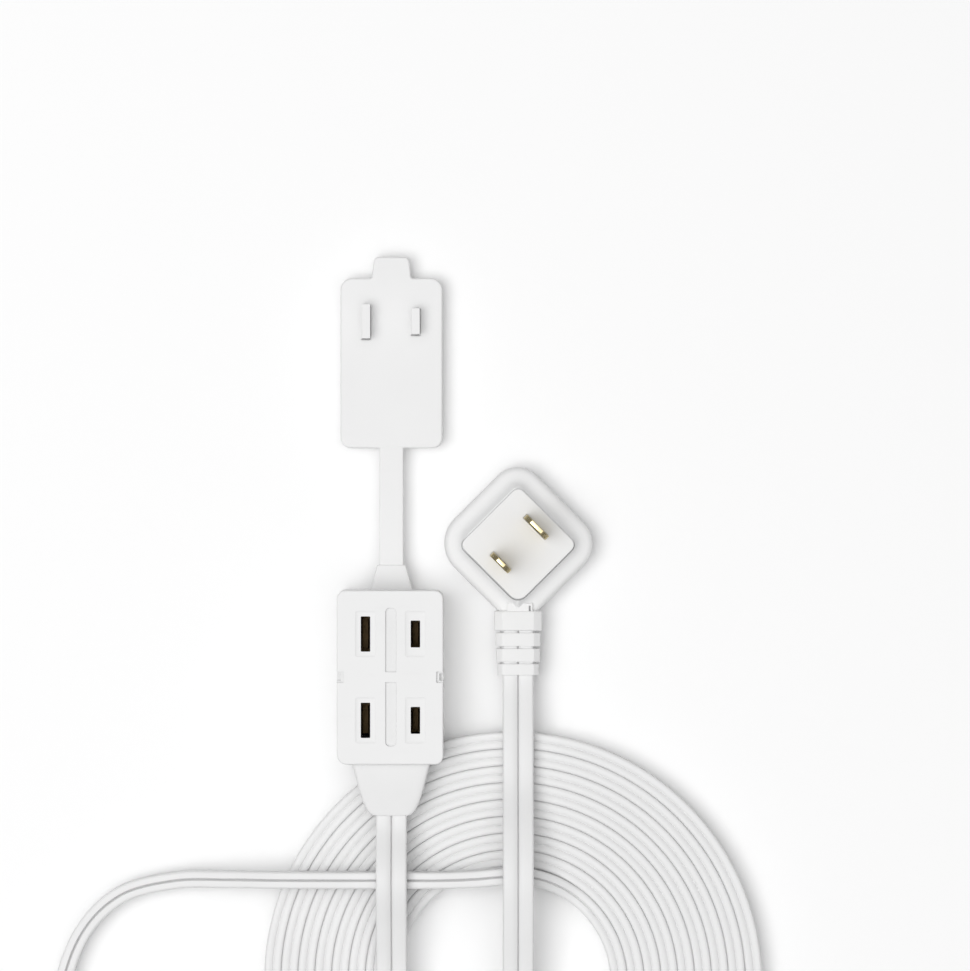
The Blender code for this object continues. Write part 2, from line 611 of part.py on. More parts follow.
def build_anchor(parts, tools):
    """The strap's flared root: thicker at the block, with a tongue through the back shell's end wall."""
    start = BLOCK_START + GAP
    end = HINGES[0] - GAP / 2
    taper_end = BLOCK_START + ANCHOR_LENGTH
    outline = [
        (ANCHOR_HALF_WIDTH, start), (ANCHOR_END_HALF_WIDTH, taper_end),
        (STRAP_WIDTH / 2, taper_end + ANCHOR_STEP), (STRAP_WIDTH / 2, end),
    ]
    outline = outline + [(-x, y) for x, y in reversed(outline)]
    half = STRAP_THICKNESS / 2
    swollen = half + ANCHOR_SWELL
    anchor = slab("strap_anchor", outline, STRAP_PLANE - swollen, STRAP_PLANE + swollen, parts)
    tilt = math.atan2(ANCHOR_SWELL, ANCHOR_LENGTH)
    reach, deep = ANCHOR_HALF_WIDTH + 2.5 * MM, 3 * MM
    for sign in (-1, 1):
        shave = box(f"anchor_shave_{sign}", (-reach, -9 * MM, 0), (reach, 9 * MM, deep), tools)
        shave.matrix_world = (Matrix.Translation((0, taper_end, STRAP_PLANE + sign * half))
                              @ Matrix.Rotation(-sign * tilt, 4, "X")
                              @ Matrix.Translation((0, 0, 0 if sign > 0 else -deep)))
        cut(anchor, shave)
        plain = box(f"anchor_plain_{sign}", (-reach, taper_end, 0), (reach, end + MM, deep), tools)
        plain.location.z = STRAP_PLANE + sign * half - (0 if sign > 0 else deep)
        cut(anchor, plain)
    thick = half + TONGUE_SWELL
    tongue = box("anchor_tongue", (-TONGUE_HALF_WIDTH, BLOCK_START - SHELL_WALL, STRAP_PLANE - thick),
                 (TONGUE_HALF_WIDTH, start + MM, STRAP_PLANE + thick), tools)
    join(anchor, tongue)
    _, waist, lean = bend_end(HINGES[0], -1)
    past = lean[0] + (lean[0] - waist[0]) * MM / STRAP_THICKNESS
    profile = [waist, (waist[0] + MM, waist[1]), (waist[0] + MM, lean[1] + MM), (past, lean[1] + MM)]
    notch = side_slab("anchor_notch", profile, -STRAP_WIDTH, STRAP_WIDTH, tools)
    cut(anchor, notch)
    return dress(anchor, WHITE, 0.5)


def bend_end(hinge, direction):
    """A strap piece's end beside a hinge: upright below the hinge's axis, and leaning back above it."""
    half = STRAP_THICKNESS / 2
    foot = hinge + direction * GAP / 2
    lean = foot + direction * (half * math.tan(BEND_LIMIT / 2) + BEND_CLEARANCE)
    return [(foot, STRAP_PLANE - half), (foot, STRAP_PLANE), (lean, STRAP_PLANE + half)]


def build_link(number, parts):
    profile = bend_end(HINGES[number], -1) + bend_end(HINGES[number - 1], 1)[::-1]
    piece = side_slab(f"strap_link_{number}", profile, -STRAP_WIDTH / 2, STRAP_WIDTH / 2, parts)
    return dress(piece, WHITE, 0.5)


def build_cover(parts, tools):
    half = COVER_WIDTH / 2
    end = COVER_START + COVER_LENGTH
    cover = slab("safety_cover", rounded_box((-half, COVER_START), (half, end), [COVER_CORNER] * 4, 5),
                 0, COVER_THICKNESS, parts)
    tab_low, tab_high = TAB_HALF_WIDTH
    tab_x, tab_y = tab_high - TAB_CORNER, TAB_END - TAB_CORNER
    outline = [
        (-tab_low, end - 2 * MM), (tab_low, end - 2 * MM), (tab_low, end),
        *arc((tab_x, tab_y), TAB_CORNER, 0, 90, 4), *arc((-tab_x, tab_y), TAB_CORNER, 90, 180, 4),
        (-tab_low, end),
    ]
    tab = slab("pull_tab", outline, COVER_THICKNESS - TAB_THICKNESS, COVER_THICKNESS - FLUSH_STEP, tools)
    soften(cover, COVER_EDGE, 2)
    apply_modifiers(cover)
    join(cover, tab)
    inside = COVER_START + 2 * MM
    root_profile = [(inside, STRAP_PLANE + STRAP_THICKNESS / 2), (inside, STRAP_PLANE - STRAP_THICKNESS / 2)]
    root = side_slab("cover_root", bend_end(HINGES[2], 1)[::-1] + root_profile[::-1],
                     -STRAP_WIDTH / 2, STRAP_WIDTH / 2, tools)
    root.location.z -= FLUSH_STEP
    join(cover, root)
    for side, length in PRONG_LENGTH.items():
        outline = centred_box((side * BLADE_OFFSET, PRONG_CENTRE), (PRONG_WIDTH, length), PRONG_CORNER, 2)
        prong = slab(f"prong_{side}", outline, COVER_THICKNESS - MM, COVER_THICKNESS + PRONG_HEIGHT, tools)
        join(cover, prong)
    return dress(cover, WHITE, 0.5)


# ---------------------------------------------------------------- plug

def diagonal_square(name, half, corner, low, high, steps, group):
    item = slab(name, centred_box((0, 0), (2 * half, 2 * half), corner, steps), low, high, group)
    place = Matrix.Translation((0, 0, (low + high) / 2))
    item.matrix_world = DIAGONAL @ place
    return item


def blade_slot(name, side, low, high, clearance, group):
    width = BLADE_WIDTH[side] + 2 * clearance
    thick = BLADE_THICKNESS + 2 * clearance
    x = -side * BLADE_OFFSET
    item = box(name, (x - thick / 2, -width / 2, low), (x + thick / 2, width / 2, high), group)
    item.matrix_world = DIAGONAL
    return item


def build_plug_body(parts, tools):
    body = diagonal_square("plug_body", FLANGE_HALF, FLANGE_CORNER, 0, FLANGE_TOP, 7, parts)
    soften(body, FLANGE_EDGE, 3)
    apply_modifiers(body)
    hollow = diagonal_square("plug_hollow", CARRIER_HALF + GAP, 1.5 * MM, PLUG_CAVITY_FLOOR, FLANGE_TOP + MM,
                             2, tools)
    x, y = PLUG_CENTRE.x, PLUG_CENTRE.y
    seat = box("collar_seat", (x - COLLAR_HALF_WIDTH - GAP, COLLAR_START - 8 * MM, 2.8 * MM),
               (x + COLLAR_HALF_WIDTH + GAP, COLLAR_START + GAP, FLANGE_TOP + MM), tools)
    reach = PLUG_CORE_HALF_WIDTH + GAP
    shank_low, shank_high = PLUG_SHANK_HEIGHTS
    passage = box("plug_passage", (x - reach, COLLAR_START - MM, PLUG_CORD_HEIGHT + shank_low - GAP),
                  (x + reach, y - CARRIER_HALF + 0.6 * MM, PLUG_CORD_HEIGHT + shank_high + GAP), tools)
    cut(body, hollow, seat, passage)
    return dress(body, WHITE, 0.48)


def build_plug_face(parts, tools):
    """The blade carrier: a raised square plate with a square boss that drops into the body."""
    face = diagonal_square("plug_face", PLATEAU_HALF, PLATEAU_CORNER, FLANGE_TOP + GAP, PLATEAU_TOP, 2, parts)
    soften(face, PLATEAU_EDGE, 2)
    apply_modifiers(face)
    boss = diagonal_square("plug_boss", CARRIER_HALF, 1.2 * MM, FLANGE_TOP - BOSS_HALF_HEIGHT,
                           FLANGE_TOP + BOSS_HALF_HEIGHT, 2, tools)
    join(face, boss)
    for side in (NEUTRAL_SIDE, HOT_SIDE):
        cut(face, blade_slot(f"face_slot_{side}", side, FLANGE_TOP - 4 * MM, PLATEAU_TOP + MM, GAP, tools))
    return dress(face, WHITE, 0.42)


def build_blade(side, parts):
    name = f"{side_name(side)}_blade"
    low = PLATEAU_TOP - BLADE_FOOT
    blade = blade_slot(name, side, low, PLATEAU_TOP + BLADE_HEIGHT, 0, parts)
    soften(blade, BLADE_EDGE, 2)
    return dress(blade, BRASS, 0.25, 1.0)


def build_plug_wiring(side, parts):
    """A crimp between the blades' feet, and the conductor that runs from the relief into it."""
    low = PLUG_CAVITY_FLOOR + GAP + PLUG_CRIMP_OUTER
    route = []
    for (x, y), drop in zip(PLUG_WIRE_PLAN[side], PLUG_WIRE_DROP):
        height = PLUG_CORD_HEIGHT + (low - PLUG_CORD_HEIGHT) * drop
        route.append((PLUG_CENTRE.x / MM + x, PLUG_CENTRE.y / MM + y, height / MM))
    points = smooth_route(route, CONDUCTOR_POINTS)
    wire = tube(f"plug_{side_name(side)}_conductor", points, PLUG_WIRE_RADIUS, parts)
    end_x, end_y, _ = route[-1]
    centre = Vector((end_x * MM, end_y * MM, low))
    build_crimp(f"plug_{side_name(side)}_crimp", centre, (0, 1, 0), PLUG_CRIMP_LENGTH, PLUG_CRIMP_OUTER,
                PLUG_WIRE_RADIUS + GAP, parts)
    return dress(wire, WHITE if side == NEUTRAL_SIDE else BLACK, 0.5)


def build_plug_relief(parts, tools):
    """A wide collar, three bands past it, and a core through them all into the plug."""
    x = PLUG_CENTRE.x
    half = COLLAR_THICKNESS / 2
    size = (2 * COLLAR_HALF_WIDTH, COLLAR_START - COLLAR_END)
    collar = centred_box((x, (COLLAR_START + COLLAR_END) / 2), size, COLLAR_CORNER)
    relief = slab("plug_strain_relief", collar, PLUG_CORD_HEIGHT - half, PLUG_CORD_HEIGHT + half, parts)
    left, right = x - PLUG_CORE_HALF_WIDTH, x + PLUG_CORE_HALF_WIDTH
    core = box("relief_core", (left, PLUG_RELIEF_END + GAP, PLUG_CORD_HEIGHT - PLUG_CORE_HALF_HEIGHT),
               (right, COLLAR_START - MM, PLUG_CORD_HEIGHT + PLUG_CORE_HALF_HEIGHT), tools)
    shank_low, shank_high = PLUG_SHANK_HEIGHTS
    shank = box("plug_shank", (left, COLLAR_START - 2 * MM, PLUG_CORD_HEIGHT + shank_low),
                (right, COLLAR_START + PLUG_SHANK_REACH, PLUG_CORD_HEIGHT + shank_high), tools)
    join(relief, core, shank)
    low, high = PLUG_CORD_HEIGHT - half + BAND_STEP, PLUG_CORD_HEIGHT + half - BAND_STEP
    for number, (start, end, half_width) in enumerate(RELIEF_BANDS):
        outline = centred_box((x, (start + end) / 2), (2 * half_width, start - end), BAND_CORNER)
        band = slab(f"relief_band_{number}", outline, low, high, tools)
        join(relief, band)
    return dress(relief, WHITE, 0.5)


# ---------------------------------------------------------------- cord

def build_coil(parts):
    coil = turned_ring("cord_coil", COIL_INNER, COIL_OUTER, 0, CORD_WIDTH, 72, 1.2 * MM, parts)
    coil.location = COIL_CENTRE
    return dress(coil, WHITE, 0.5)


def build_cord_runs(parts):
    for name, route in {"outlet_cord_run": OUTLET_ROUTE, "plug_cord_run": PLUG_ROUTE}.items():
        run = tube(name, smooth_route(route, TUBE_POINTS[name]), CORD_RADIUS, parts)
        dress(run, WHITE, 0.5)


def main():
    clear_scene()
    parts = new_collection("extension_cord")
    tools = new_collection("cutters")
    build_front_shell(parts, tools)
    build_back_shell(parts, tools)
    for side in (NEUTRAL_SIDE, HOT_SIDE):
        build_bus_bar(side, parts)
        for outlet, centre_y in OUTLET_CENTRES.items():
            build_clip(side, outlet, centre_y, parts)
        build_outlet_wiring(side, parts)
        build_blade(side, parts)
        build_plug_wiring(side, parts)
    build_outlet_relief(parts, tools)
    build_anchor(parts, tools)
    for number in (1, 2):
        build_link(number, parts)
    build_cover(parts, tools)
    build_plug_body(parts, tools)
    build_plug_face(parts, tools)
    build_plug_relief(parts, tools)
    build_coil(parts)
    build_cord_runs(parts)


main()
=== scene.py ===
"""Looks of a household extension cord: outlet block, tethered safety cover, flat plug and coiled flat cord.

Every piece is worked out in metres in the frame of the solids that it stands for.  +Z is up, the outlets face
up, and +Y runs from the outlet block to the safety cover.
"""

import json
import logging
import math
from dataclasses import dataclass, field
from enum import Enum

import bpy
import numpy as np
from mathutils import Matrix, Vector


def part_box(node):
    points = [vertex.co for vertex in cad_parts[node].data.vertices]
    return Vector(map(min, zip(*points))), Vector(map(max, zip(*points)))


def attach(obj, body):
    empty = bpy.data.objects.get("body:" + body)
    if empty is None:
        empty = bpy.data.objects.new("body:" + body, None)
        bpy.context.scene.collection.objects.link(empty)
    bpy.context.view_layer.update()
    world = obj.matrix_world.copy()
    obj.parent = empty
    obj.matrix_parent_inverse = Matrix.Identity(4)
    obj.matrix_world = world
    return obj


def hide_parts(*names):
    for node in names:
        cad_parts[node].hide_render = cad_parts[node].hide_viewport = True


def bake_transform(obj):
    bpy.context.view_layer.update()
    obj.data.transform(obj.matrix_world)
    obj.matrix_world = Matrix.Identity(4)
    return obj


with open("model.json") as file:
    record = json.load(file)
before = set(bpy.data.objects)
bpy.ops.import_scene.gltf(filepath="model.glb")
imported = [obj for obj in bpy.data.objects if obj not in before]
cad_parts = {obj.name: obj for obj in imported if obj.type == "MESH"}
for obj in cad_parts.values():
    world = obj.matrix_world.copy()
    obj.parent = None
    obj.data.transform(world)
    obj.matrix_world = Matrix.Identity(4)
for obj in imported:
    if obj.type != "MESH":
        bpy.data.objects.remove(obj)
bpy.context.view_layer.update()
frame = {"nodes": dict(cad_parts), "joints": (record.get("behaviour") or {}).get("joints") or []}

MM = 0.001
Pair = tuple[float, float]
Triple = tuple[float, float, float]
Sizes = tuple[float, ...]
Table = tuple[Sizes, ...]
log = logging.getLogger("extension_cord")


class Pole(Enum):
    """The two poles of a polarised outlet or plug, by the side of the block that they are on.

    Sizes that differ between the poles are given in this order.
    """

    NEUTRAL = -1
    HOT = 1


class Slot(Enum):
    """Material slots of the record, named at each new piece."""

    SHELL = "shell_plastic"
    VINYL = "soft_vinyl"
    JACKET = "cord_jacket"
    BLADE = "blade_brass"


# ------------------------------------------------------------------ shader groups and finishes

@dataclass
class ShaderDesk:
    """A small bench for wiring a node tree."""

    tree: bpy.types.NodeTree

    def node(self, kind: str, **settings: object) -> bpy.types.Node:
        """Add a node.

        Args:
            kind: the node's type name.
            settings: attributes to set on it.

        Returns:
            The new node.
        """
        made = self.tree.nodes.new(kind)
        for name, value in settings.items():
            setattr(made, name, value)
        return made
    def wire(self, value: object, into: bpy.types.NodeSocket) -> None:
        """Feed an input from a socket, or set it to a plain value.

        Args:
            value: a socket or a value.
            into: the input.
        """
        if isinstance(value, bpy.types.NodeSocket):
            self.tree.links.new(value, into)
        else:
            into.default_value = value

    def math(self, operation: str, first: object, second: object = 0.0) -> bpy.types.NodeSocket:
        """Add a Math node.

        Args:
            operation: the Math node's operation.
            first: a socket or a number.
            second: a socket or a number.

        Returns:
            The result's socket.
        """
        made = self.node("ShaderNodeMath", operation=operation)
        for socket, value in zip(made.inputs, (first, second)):
            self.wire(value, socket)
        return made.outputs[0]

    def swing(self, value: object, amount: object, middle: object) -> bpy.types.NodeSocket:
        """A value that lies round a half, scaled by an amount and moved to lie round a middle."""
        away = self.math("MULTIPLY", self.math("SUBTRACT", value, 0.5), amount)
        return self.math("ADD", away, middle)

    def noise(self, vector: bpy.types.NodeSocket, scale: object, detail: float = 2.0) -> bpy.types.NodeSocket:
        """Add a noise texture.

        Args:
            vector: where it is read.
            scale: a socket or a number.
            detail: its layers.

        Returns:
            The value's socket.
        """
        made = self.node("ShaderNodeTexNoise")
        for label, value in (("Detail", detail), ("Vector", vector), ("Scale", scale)):
            self.wire(value, made.inputs[label])
        return made.outputs["Fac"]

    def stretched(self, vector: bpy.types.NodeSocket, scale: Triple,
                  turn: Triple = (0.0, 0.0, 0.0)) -> bpy.types.NodeSocket:
        """Scale and turn a vector.

        Args:
            vector: the vector.
            scale: its factor along each axis.
            turn: its turn about each axis.

        Returns:
            The new vector's socket.
        """
        made = self.node("ShaderNodeMapping")
        for label, value in (("Vector", vector), ("Rotation", turn), ("Scale", scale)):
            self.wire(value, made.inputs[label])
        return made.outputs["Vector"]

    def group(self, tree: bpy.types.NodeTree, vector: bpy.types.NodeSocket,
              **values: float) -> bpy.types.Node:
        """Place a shader group.

        Args:
            tree: the group.
            vector: where it is read.
            values: its other inputs.

        Returns:
            The group's node.
        """
        made = self.node("ShaderNodeGroup", node_tree=tree)
        self.wire(vector, made.inputs["Vector"])
        for label, value in values.items():
            self.wire(value, made.inputs[label])
        return made


def new_group(name: str, takes: dict[str, float], gives: tuple[str, ...]
              ) -> tuple[ShaderDesk, bpy.types.Node, bpy.types.Node]:
    """Start a shader node group whose first input is a vector.

    Args:
        name: the group's name.
        takes: number inputs and their defaults.
        gives: number outputs.

    Returns:
        A desk on the group, its input node and its output node.
    """
    tree = bpy.data.node_groups.new(name, "ShaderNodeTree")
    tree.interface.new_socket("Vector", in_out="INPUT", socket_type="NodeSocketVector")
    for label, value in takes.items():
        socket = tree.interface.new_socket(label, in_out="INPUT", socket_type="NodeSocketFloat")
        socket.default_value = value
    for label in gives:
        tree.interface.new_socket(label, in_out="OUTPUT", socket_type="NodeSocketFloat")
    desk = ShaderDesk(tree)
    return desk, desk.node("NodeGroupInput"), desk.node("NodeGroupOutput")


def moulded_grain_group() -> bpy.types.NodeTree:
    """Fine grain of a moulded surface.

    The height is fine noise plus a fifth of a coarser noise.  The mottle is slow noise round one, by which a
    colour is multiplied.

    Returns:
        The group.
    """
    desk, start, end = new_group("moulded_grain", {"Scale": 2600.0, "Mottle": 0.02}, ("Height", "Mottle"))
    place, scale, mottle = start.outputs[:3]
    coarse_share, cloud_scale = 0.11, 55.0
    fine = desk.noise(place, scale, 3.0)
    slow = desk.noise(place, desk.math("MULTIPLY", scale, coarse_share))
    desk.wire(desk.math("ADD", fine, desk.math("MULTIPLY", slow, 0.2)), end.inputs["Height"])
    desk.wire(desk.swing(desk.noise(place, cloud_scale), mottle, 1.0), end.inputs["Mottle"])
    return desk.tree


def handling_group() -> bpy.types.NodeTree:
    """Hairline scratches and faint smudges.

    A scratch is where one of two stretched noises comes close to its middle value.  The smudge is slow noise.

    Returns:
        The group.
    """
    desk, start, end = new_group("handling_marks", {"Scale": 260.0, "Width": 0.012}, ("Scratches", "Smudge"))
    place, scale, width = start.outputs[:3]
    broken_scale, broken_from, smudge_scale = 90.0, 0.56, 70.0
    lines = []
    for turn in (0.5, 2.1):
        streak = desk.noise(desk.stretched(place, (0.08, 1.0, 1.0), (0.2, 0.1, turn)), scale, 1.0)
        away = desk.math("ABSOLUTE", desk.math("SUBTRACT", streak, 0.5))
        lines.append(desk.math("LESS_THAN", away, width))
    broken = desk.math("GREATER_THAN", desk.noise(place, broken_scale), broken_from)
    desk.wire(desk.math("MULTIPLY", desk.math("MAXIMUM", *lines), broken), end.inputs["Scratches"])
    desk.wire(desk.noise(place, smudge_scale, 3.0), end.inputs["Smudge"])
    return desk.tree


@dataclass
class Workshop:
    """Shader groups, made once, and the finishes already mixed."""

    grain: bpy.types.NodeTree = field(default_factory=moulded_grain_group)
    marks: bpy.types.NodeTree = field(default_factory=handling_group)
    mixed: dict[str, bpy.types.Material] = field(default_factory=dict)

    def material(self, finish: "Finish") -> bpy.types.Material:
        """Return a finish's material, mixing it the first time."""
        if finish.name not in self.mixed:
            self.mixed[finish.name] = finish.mix(self)
        return self.mixed[finish.name]


@dataclass(frozen=True)
class Finish:
    """What every finish has."""

    name: str
    colour: Triple
    roughness: float

    def mix(self, shop: Workshop) -> bpy.types.Material:
        """Make the finish's material.

        Args:
            shop: where the shader groups are.

        Returns:
            The material.
        """
        material = bpy.data.materials.new(self.name)
        material.use_nodes = True
        material.diffuse_color = (*self.colour, 1.0)
        shader = material.node_tree.nodes["Principled BSDF"]
        shader.inputs["Base Color"].default_value = (*self.colour, 1.0)
        shader.inputs["Roughness"].default_value = self.roughness
        self.dress(shop, ShaderDesk(material.node_tree), shader.inputs)
        return material

    def tint(self, desk: ShaderDesk, factor: bpy.types.NodeSocket, inputs: bpy.types.NodeInputs) -> None:
        """Multiply the base colour by a factor that changes over the surface."""
        scale = desk.node("ShaderNodeVectorMath", operation="SCALE")
        scale.inputs[0].default_value = self.colour
        desk.wire(factor, scale.inputs["Scale"])
        desk.wire(scale.outputs["Vector"], inputs["Base Color"])

    def emboss(self, desk: ShaderDesk, height: bpy.types.NodeSocket, depth: float,
               inputs: bpy.types.NodeInputs) -> None:
        """Drive the normal from a height, in metres of depth."""
        bump = desk.node("ShaderNodeBump")
        for label, value in (("Strength", 0.5), ("Distance", depth), ("Height", height)):
            desk.wire(value, bump.inputs[label])
        desk.wire(bump.outputs["Normal"], inputs["Normal"])

    def dress(self, shop: Workshop, desk: ShaderDesk, inputs: bpy.types.NodeInputs) -> None:
        """Add what varies over the surface; each kind of finish has its own way."""
        raise NotImplementedError


@dataclass(frozen=True)
class MouldedFinish(Finish):
    """White moulded plastic or vinyl: fine grain, faint mottle, smudges in its gloss."""

    grain_scale: float = 2600.0
    grain_depth: float = 0.00002
    mottle: float = 0.02
    smudged: float = 0.14
    scratched: float = 0.08
    scored: float = 0.3

    def dress(self, shop: Workshop, desk: ShaderDesk, inputs: bpy.types.NodeInputs) -> None:
        """Mottle the colour, smudge and scratch the gloss, and grain the surface.

        Args:
            shop: where the shader groups are.
            desk: a desk on the material.
            inputs: the shader's inputs.
        """
        place = desk.node("ShaderNodeTexCoord").outputs["Object"]
        grain = desk.group(shop.grain, place, Scale=self.grain_scale, Mottle=self.mottle)
        scratches, smudge = desk.group(shop.marks, place).outputs[:2]
        self.tint(desk, grain.outputs["Mottle"], inputs)
        dulled = desk.swing(smudge, self.smudged, self.roughness)
        dull_lines = desk.math("MULTIPLY", scratches, self.scratched)
        desk.wire(desk.math("ADD", dulled, dull_lines), inputs["Roughness"])
        depth = desk.math("MULTIPLY", scratches, self.scored)
        self.emboss(desk, desk.math("SUBTRACT", grain.outputs["Height"], depth), self.grain_depth, inputs)


@dataclass(frozen=True)
class JacketFinish(Finish):
    """Extruded cord jacket: fine flow lines along the cord over a faint grain."""

    line_depth: float = 0.00003
    line_scale: float = 2200.0
    line_stretch: Triple = (1.0, 0.02, 1.0)
    grain_share: float = 0.35
    mottle: float = 0.025
    sheen: float = 0.12

    def dress(self, shop: Workshop, desk: ShaderDesk, inputs: bpy.types.NodeInputs) -> None:
        """Noise stretched along the cord's own UV map gives the flow lines.

        Args:
            shop: where the shader groups are.
            desk: a desk on the material.
            inputs: the shader's inputs.
        """
        coordinates = desk.node("ShaderNodeTexCoord")
        lines = desk.noise(desk.stretched(coordinates.outputs["UV"], self.line_stretch), self.line_scale)
        grain = desk.group(shop.grain, coordinates.outputs["Object"], Mottle=self.mottle)
        height = desk.math("ADD", lines, desk.math("MULTIPLY", grain.outputs["Height"], self.grain_share))
        self.emboss(desk, height, self.line_depth, inputs)
        self.tint(desk, grain.outputs["Mottle"], inputs)
        desk.wire(desk.swing(lines, self.sheen, self.roughness), inputs["Roughness"])


@dataclass(frozen=True)
class BrassFinish(Finish):
    """Stamped brass: fine drawing lines one way, tarnish in soft patches, hairline scratches."""

    line_stretch: Triple = (1.0, 1.0, 0.05)
    tarnish: float = 0.25
    line_scale: float = 5200.0
    line_depth: float = 0.00001
    mark_scale: float = 900.0
    sheen: float = 0.2
    scratched: float = 0.15

    def dress(self, shop: Workshop, desk: ShaderDesk, inputs: bpy.types.NodeInputs) -> None:
        """Tarnish the colour, and draw fine lines in the gloss and the surface.

        Args:
            shop: where the shader groups are.
            desk: a desk on the material.
            inputs: the shader's inputs.
        """
        inputs["Metallic"].default_value = 1.0
        place = desk.node("ShaderNodeTexCoord").outputs["Object"]
        lines = desk.noise(desk.stretched(place, self.line_stretch), self.line_scale)
        scratches, smudge = desk.group(shop.marks, place, Scale=self.mark_scale).outputs[:2]
        self.tint(desk, desk.math("SUBTRACT", 1.0, desk.math("MULTIPLY", smudge, self.tarnish)), inputs)
        worn = desk.swing(lines, self.sheen, desk.math("MULTIPLY", scratches, self.scratched))
        desk.wire(desk.math("ADD", worn, self.roughness), inputs["Roughness"])
        self.emboss(desk, lines, self.line_depth, inputs)


@dataclass(frozen=True)
class GroundFinish(Finish):
    """The pale ground that everything lies on: matt, with a very faint mottle."""

    shine: float = 0.1
    grain_scale: float = 900.0
    mottle: float = 0.004

    def dress(self, shop: Workshop, desk: ShaderDesk, inputs: bpy.types.NodeInputs) -> None:
        """Dull the ground and mottle its colour."""
        inputs["Specular IOR Level"].default_value = self.shine
        place = desk.node("ShaderNodeTexCoord").outputs["Object"]
        grain = desk.group(shop.grain, place, Scale=self.grain_scale, Mottle=self.mottle)
        self.tint(desk, grain.outputs["Mottle"], inputs)


SHELL_WHITE = MouldedFinish("white_shell", (0.785, 0.785, 0.785), 0.5, grain_depth=0.000012)
# A slightly darker white on the floors and walls of the centre channels and snap windows: painted shade.
SHADED_RECESS_WHITE = MouldedFinish("white_recess_painted_shade", (0.75, 0.75, 0.75), 0.6, grain_depth=0.000012)
VINYL_WHITE = MouldedFinish("white_vinyl", (0.795, 0.795, 0.795), 0.56, 1900.0, 0.000016)
RELIEF_WHITE = MouldedFinish("white_relief", (0.765, 0.765, 0.765), 0.58, 1900.0, 0.000016)
JACKET_WHITE = JacketFinish("white_jacket", (0.775, 0.775, 0.775), 0.52)
# Near black on the walls of the block's hollow, slots and cord passage and of the bridge's slit: painted
# shade.
PAINTED_SHADE_BLACK = MouldedFinish("painted_shade_black", (0.008, 0.008, 0.009), 0.7)
BLADE_BRASS = BrassFinish("blade_brass", (0.9, 0.77, 0.46), 0.24)
CONTACT_BRASS = BrassFinish("contact_brass", (0.2, 0.14, 0.07), 0.5, (0.05, 1.0, 1.0), 0.5)
NEUTRAL_WIRE = MouldedFinish("neutral_insulation", (0.78, 0.78, 0.77), 0.5)
HOT_WIRE = MouldedFinish("hot_insulation", (0.03, 0.03, 0.03), 0.45)
GROUND = GroundFinish("pale_ground", (0.94, 0.94, 0.94), 0.9)


# ------------------------------------------------------------------ outlines, rings and meshes

def filleted(corners: list[Triple], steps: int = 8) -> np.ndarray:
    """Round a polygon's corners.

    Each corner becomes an arc that touches both of its sides: the arc's centre lies on the corner's bisector
    at the radius over the sine of half the corner's angle.

    Args:
        corners: x, y and radius of each corner, anticlockwise.
        steps: segments in each arc.

    Returns:
        The outline, one row for each point.
    """
    places = np.array([corner[:2] for corner in corners], float)
    points = []
    for index, (x, y, radius) in enumerate(corners):
        here = np.array((x, y))
        if radius <= 0:
            points.append(here[None])
            continue
        back = places[index - 1] - here
        ahead = places[(index + 1) % len(corners)] - here
        back /= np.linalg.norm(back)
        ahead /= np.linalg.norm(ahead)
        half = math.acos(np.clip(back @ ahead, -1, 1)) / 2
        middle = back + ahead
        centre = here + middle / np.linalg.norm(middle) * radius / math.sin(half)
        touch = radius / math.tan(half)
        first, last = here + back * touch - centre, here + ahead * touch - centre
        start = math.atan2(first[1], first[0])
        sweep = (math.atan2(last[1], last[0]) - start + math.pi) % (2 * math.pi) - math.pi
        angles = start + sweep * np.linspace(0, 1, steps + 1)
        points.append(centre + radius * np.column_stack((np.cos(angles), np.sin(angles))))
    return np.concatenate(points)


def box_outline(centre: Pair, size: Pair, radii: object,
                steps: int = 8) -> np.ndarray:
    """A rectangle with rounded corners.

    Args:
        centre: its middle.
        size: its width and length.
        radii: one radius, or four from the low-x low-y corner anticlockwise.
        steps: segments in each corner.

    Returns:
        The outline.
    """
    four = [radii] * 4 if isinstance(radii, float) else list(radii)
    signs = [(-1, -1), (1, -1), (1, 1), (-1, 1)]
    corners = [(centre[0] + sx * size[0] / 2, centre[1] + sy * size[1] / 2, radius)
               for (sx, sy), radius in zip(signs, four)]
    return filleted(corners, steps)


def side_outline(sides: np.ndarray, radii: np.ndarray, steps: int = 12) -> np.ndarray:
    """A rounded four-sided outline from how far each side lies from the middle.

    Args:
        sides: distances of the -x, -y, +x and +y sides.
        radii: corner radii from the low-x low-y corner anticlockwise.
        steps: segments in each corner.

    Returns:
        The outline.
    """
    west, south, east, north = sides
    places = [(-west, -south), (east, -south), (east, north), (-west, north)]
    return filleted([(x, y, radius) for (x, y), radius in zip(places, radii)], steps)


def inset(outline: np.ndarray, distance: float) -> np.ndarray:
    """Move every point inwards, square to the outline, by a distance."""
    before = outline - np.roll(outline, 1, axis=0)
    after = np.roll(outline, -1, axis=0) - outline
    before /= np.linalg.norm(before, axis=1)[:, None]
    after /= np.linalg.norm(after, axis=1)[:, None]
    first = np.column_stack((before[:, 1], -before[:, 0]))
    middle = first + np.column_stack((after[:, 1], -after[:, 0]))
    middle /= np.linalg.norm(middle, axis=1)[:, None]
    return outline - middle * (distance / np.einsum("ij,ij->i", middle, first))[:, None]


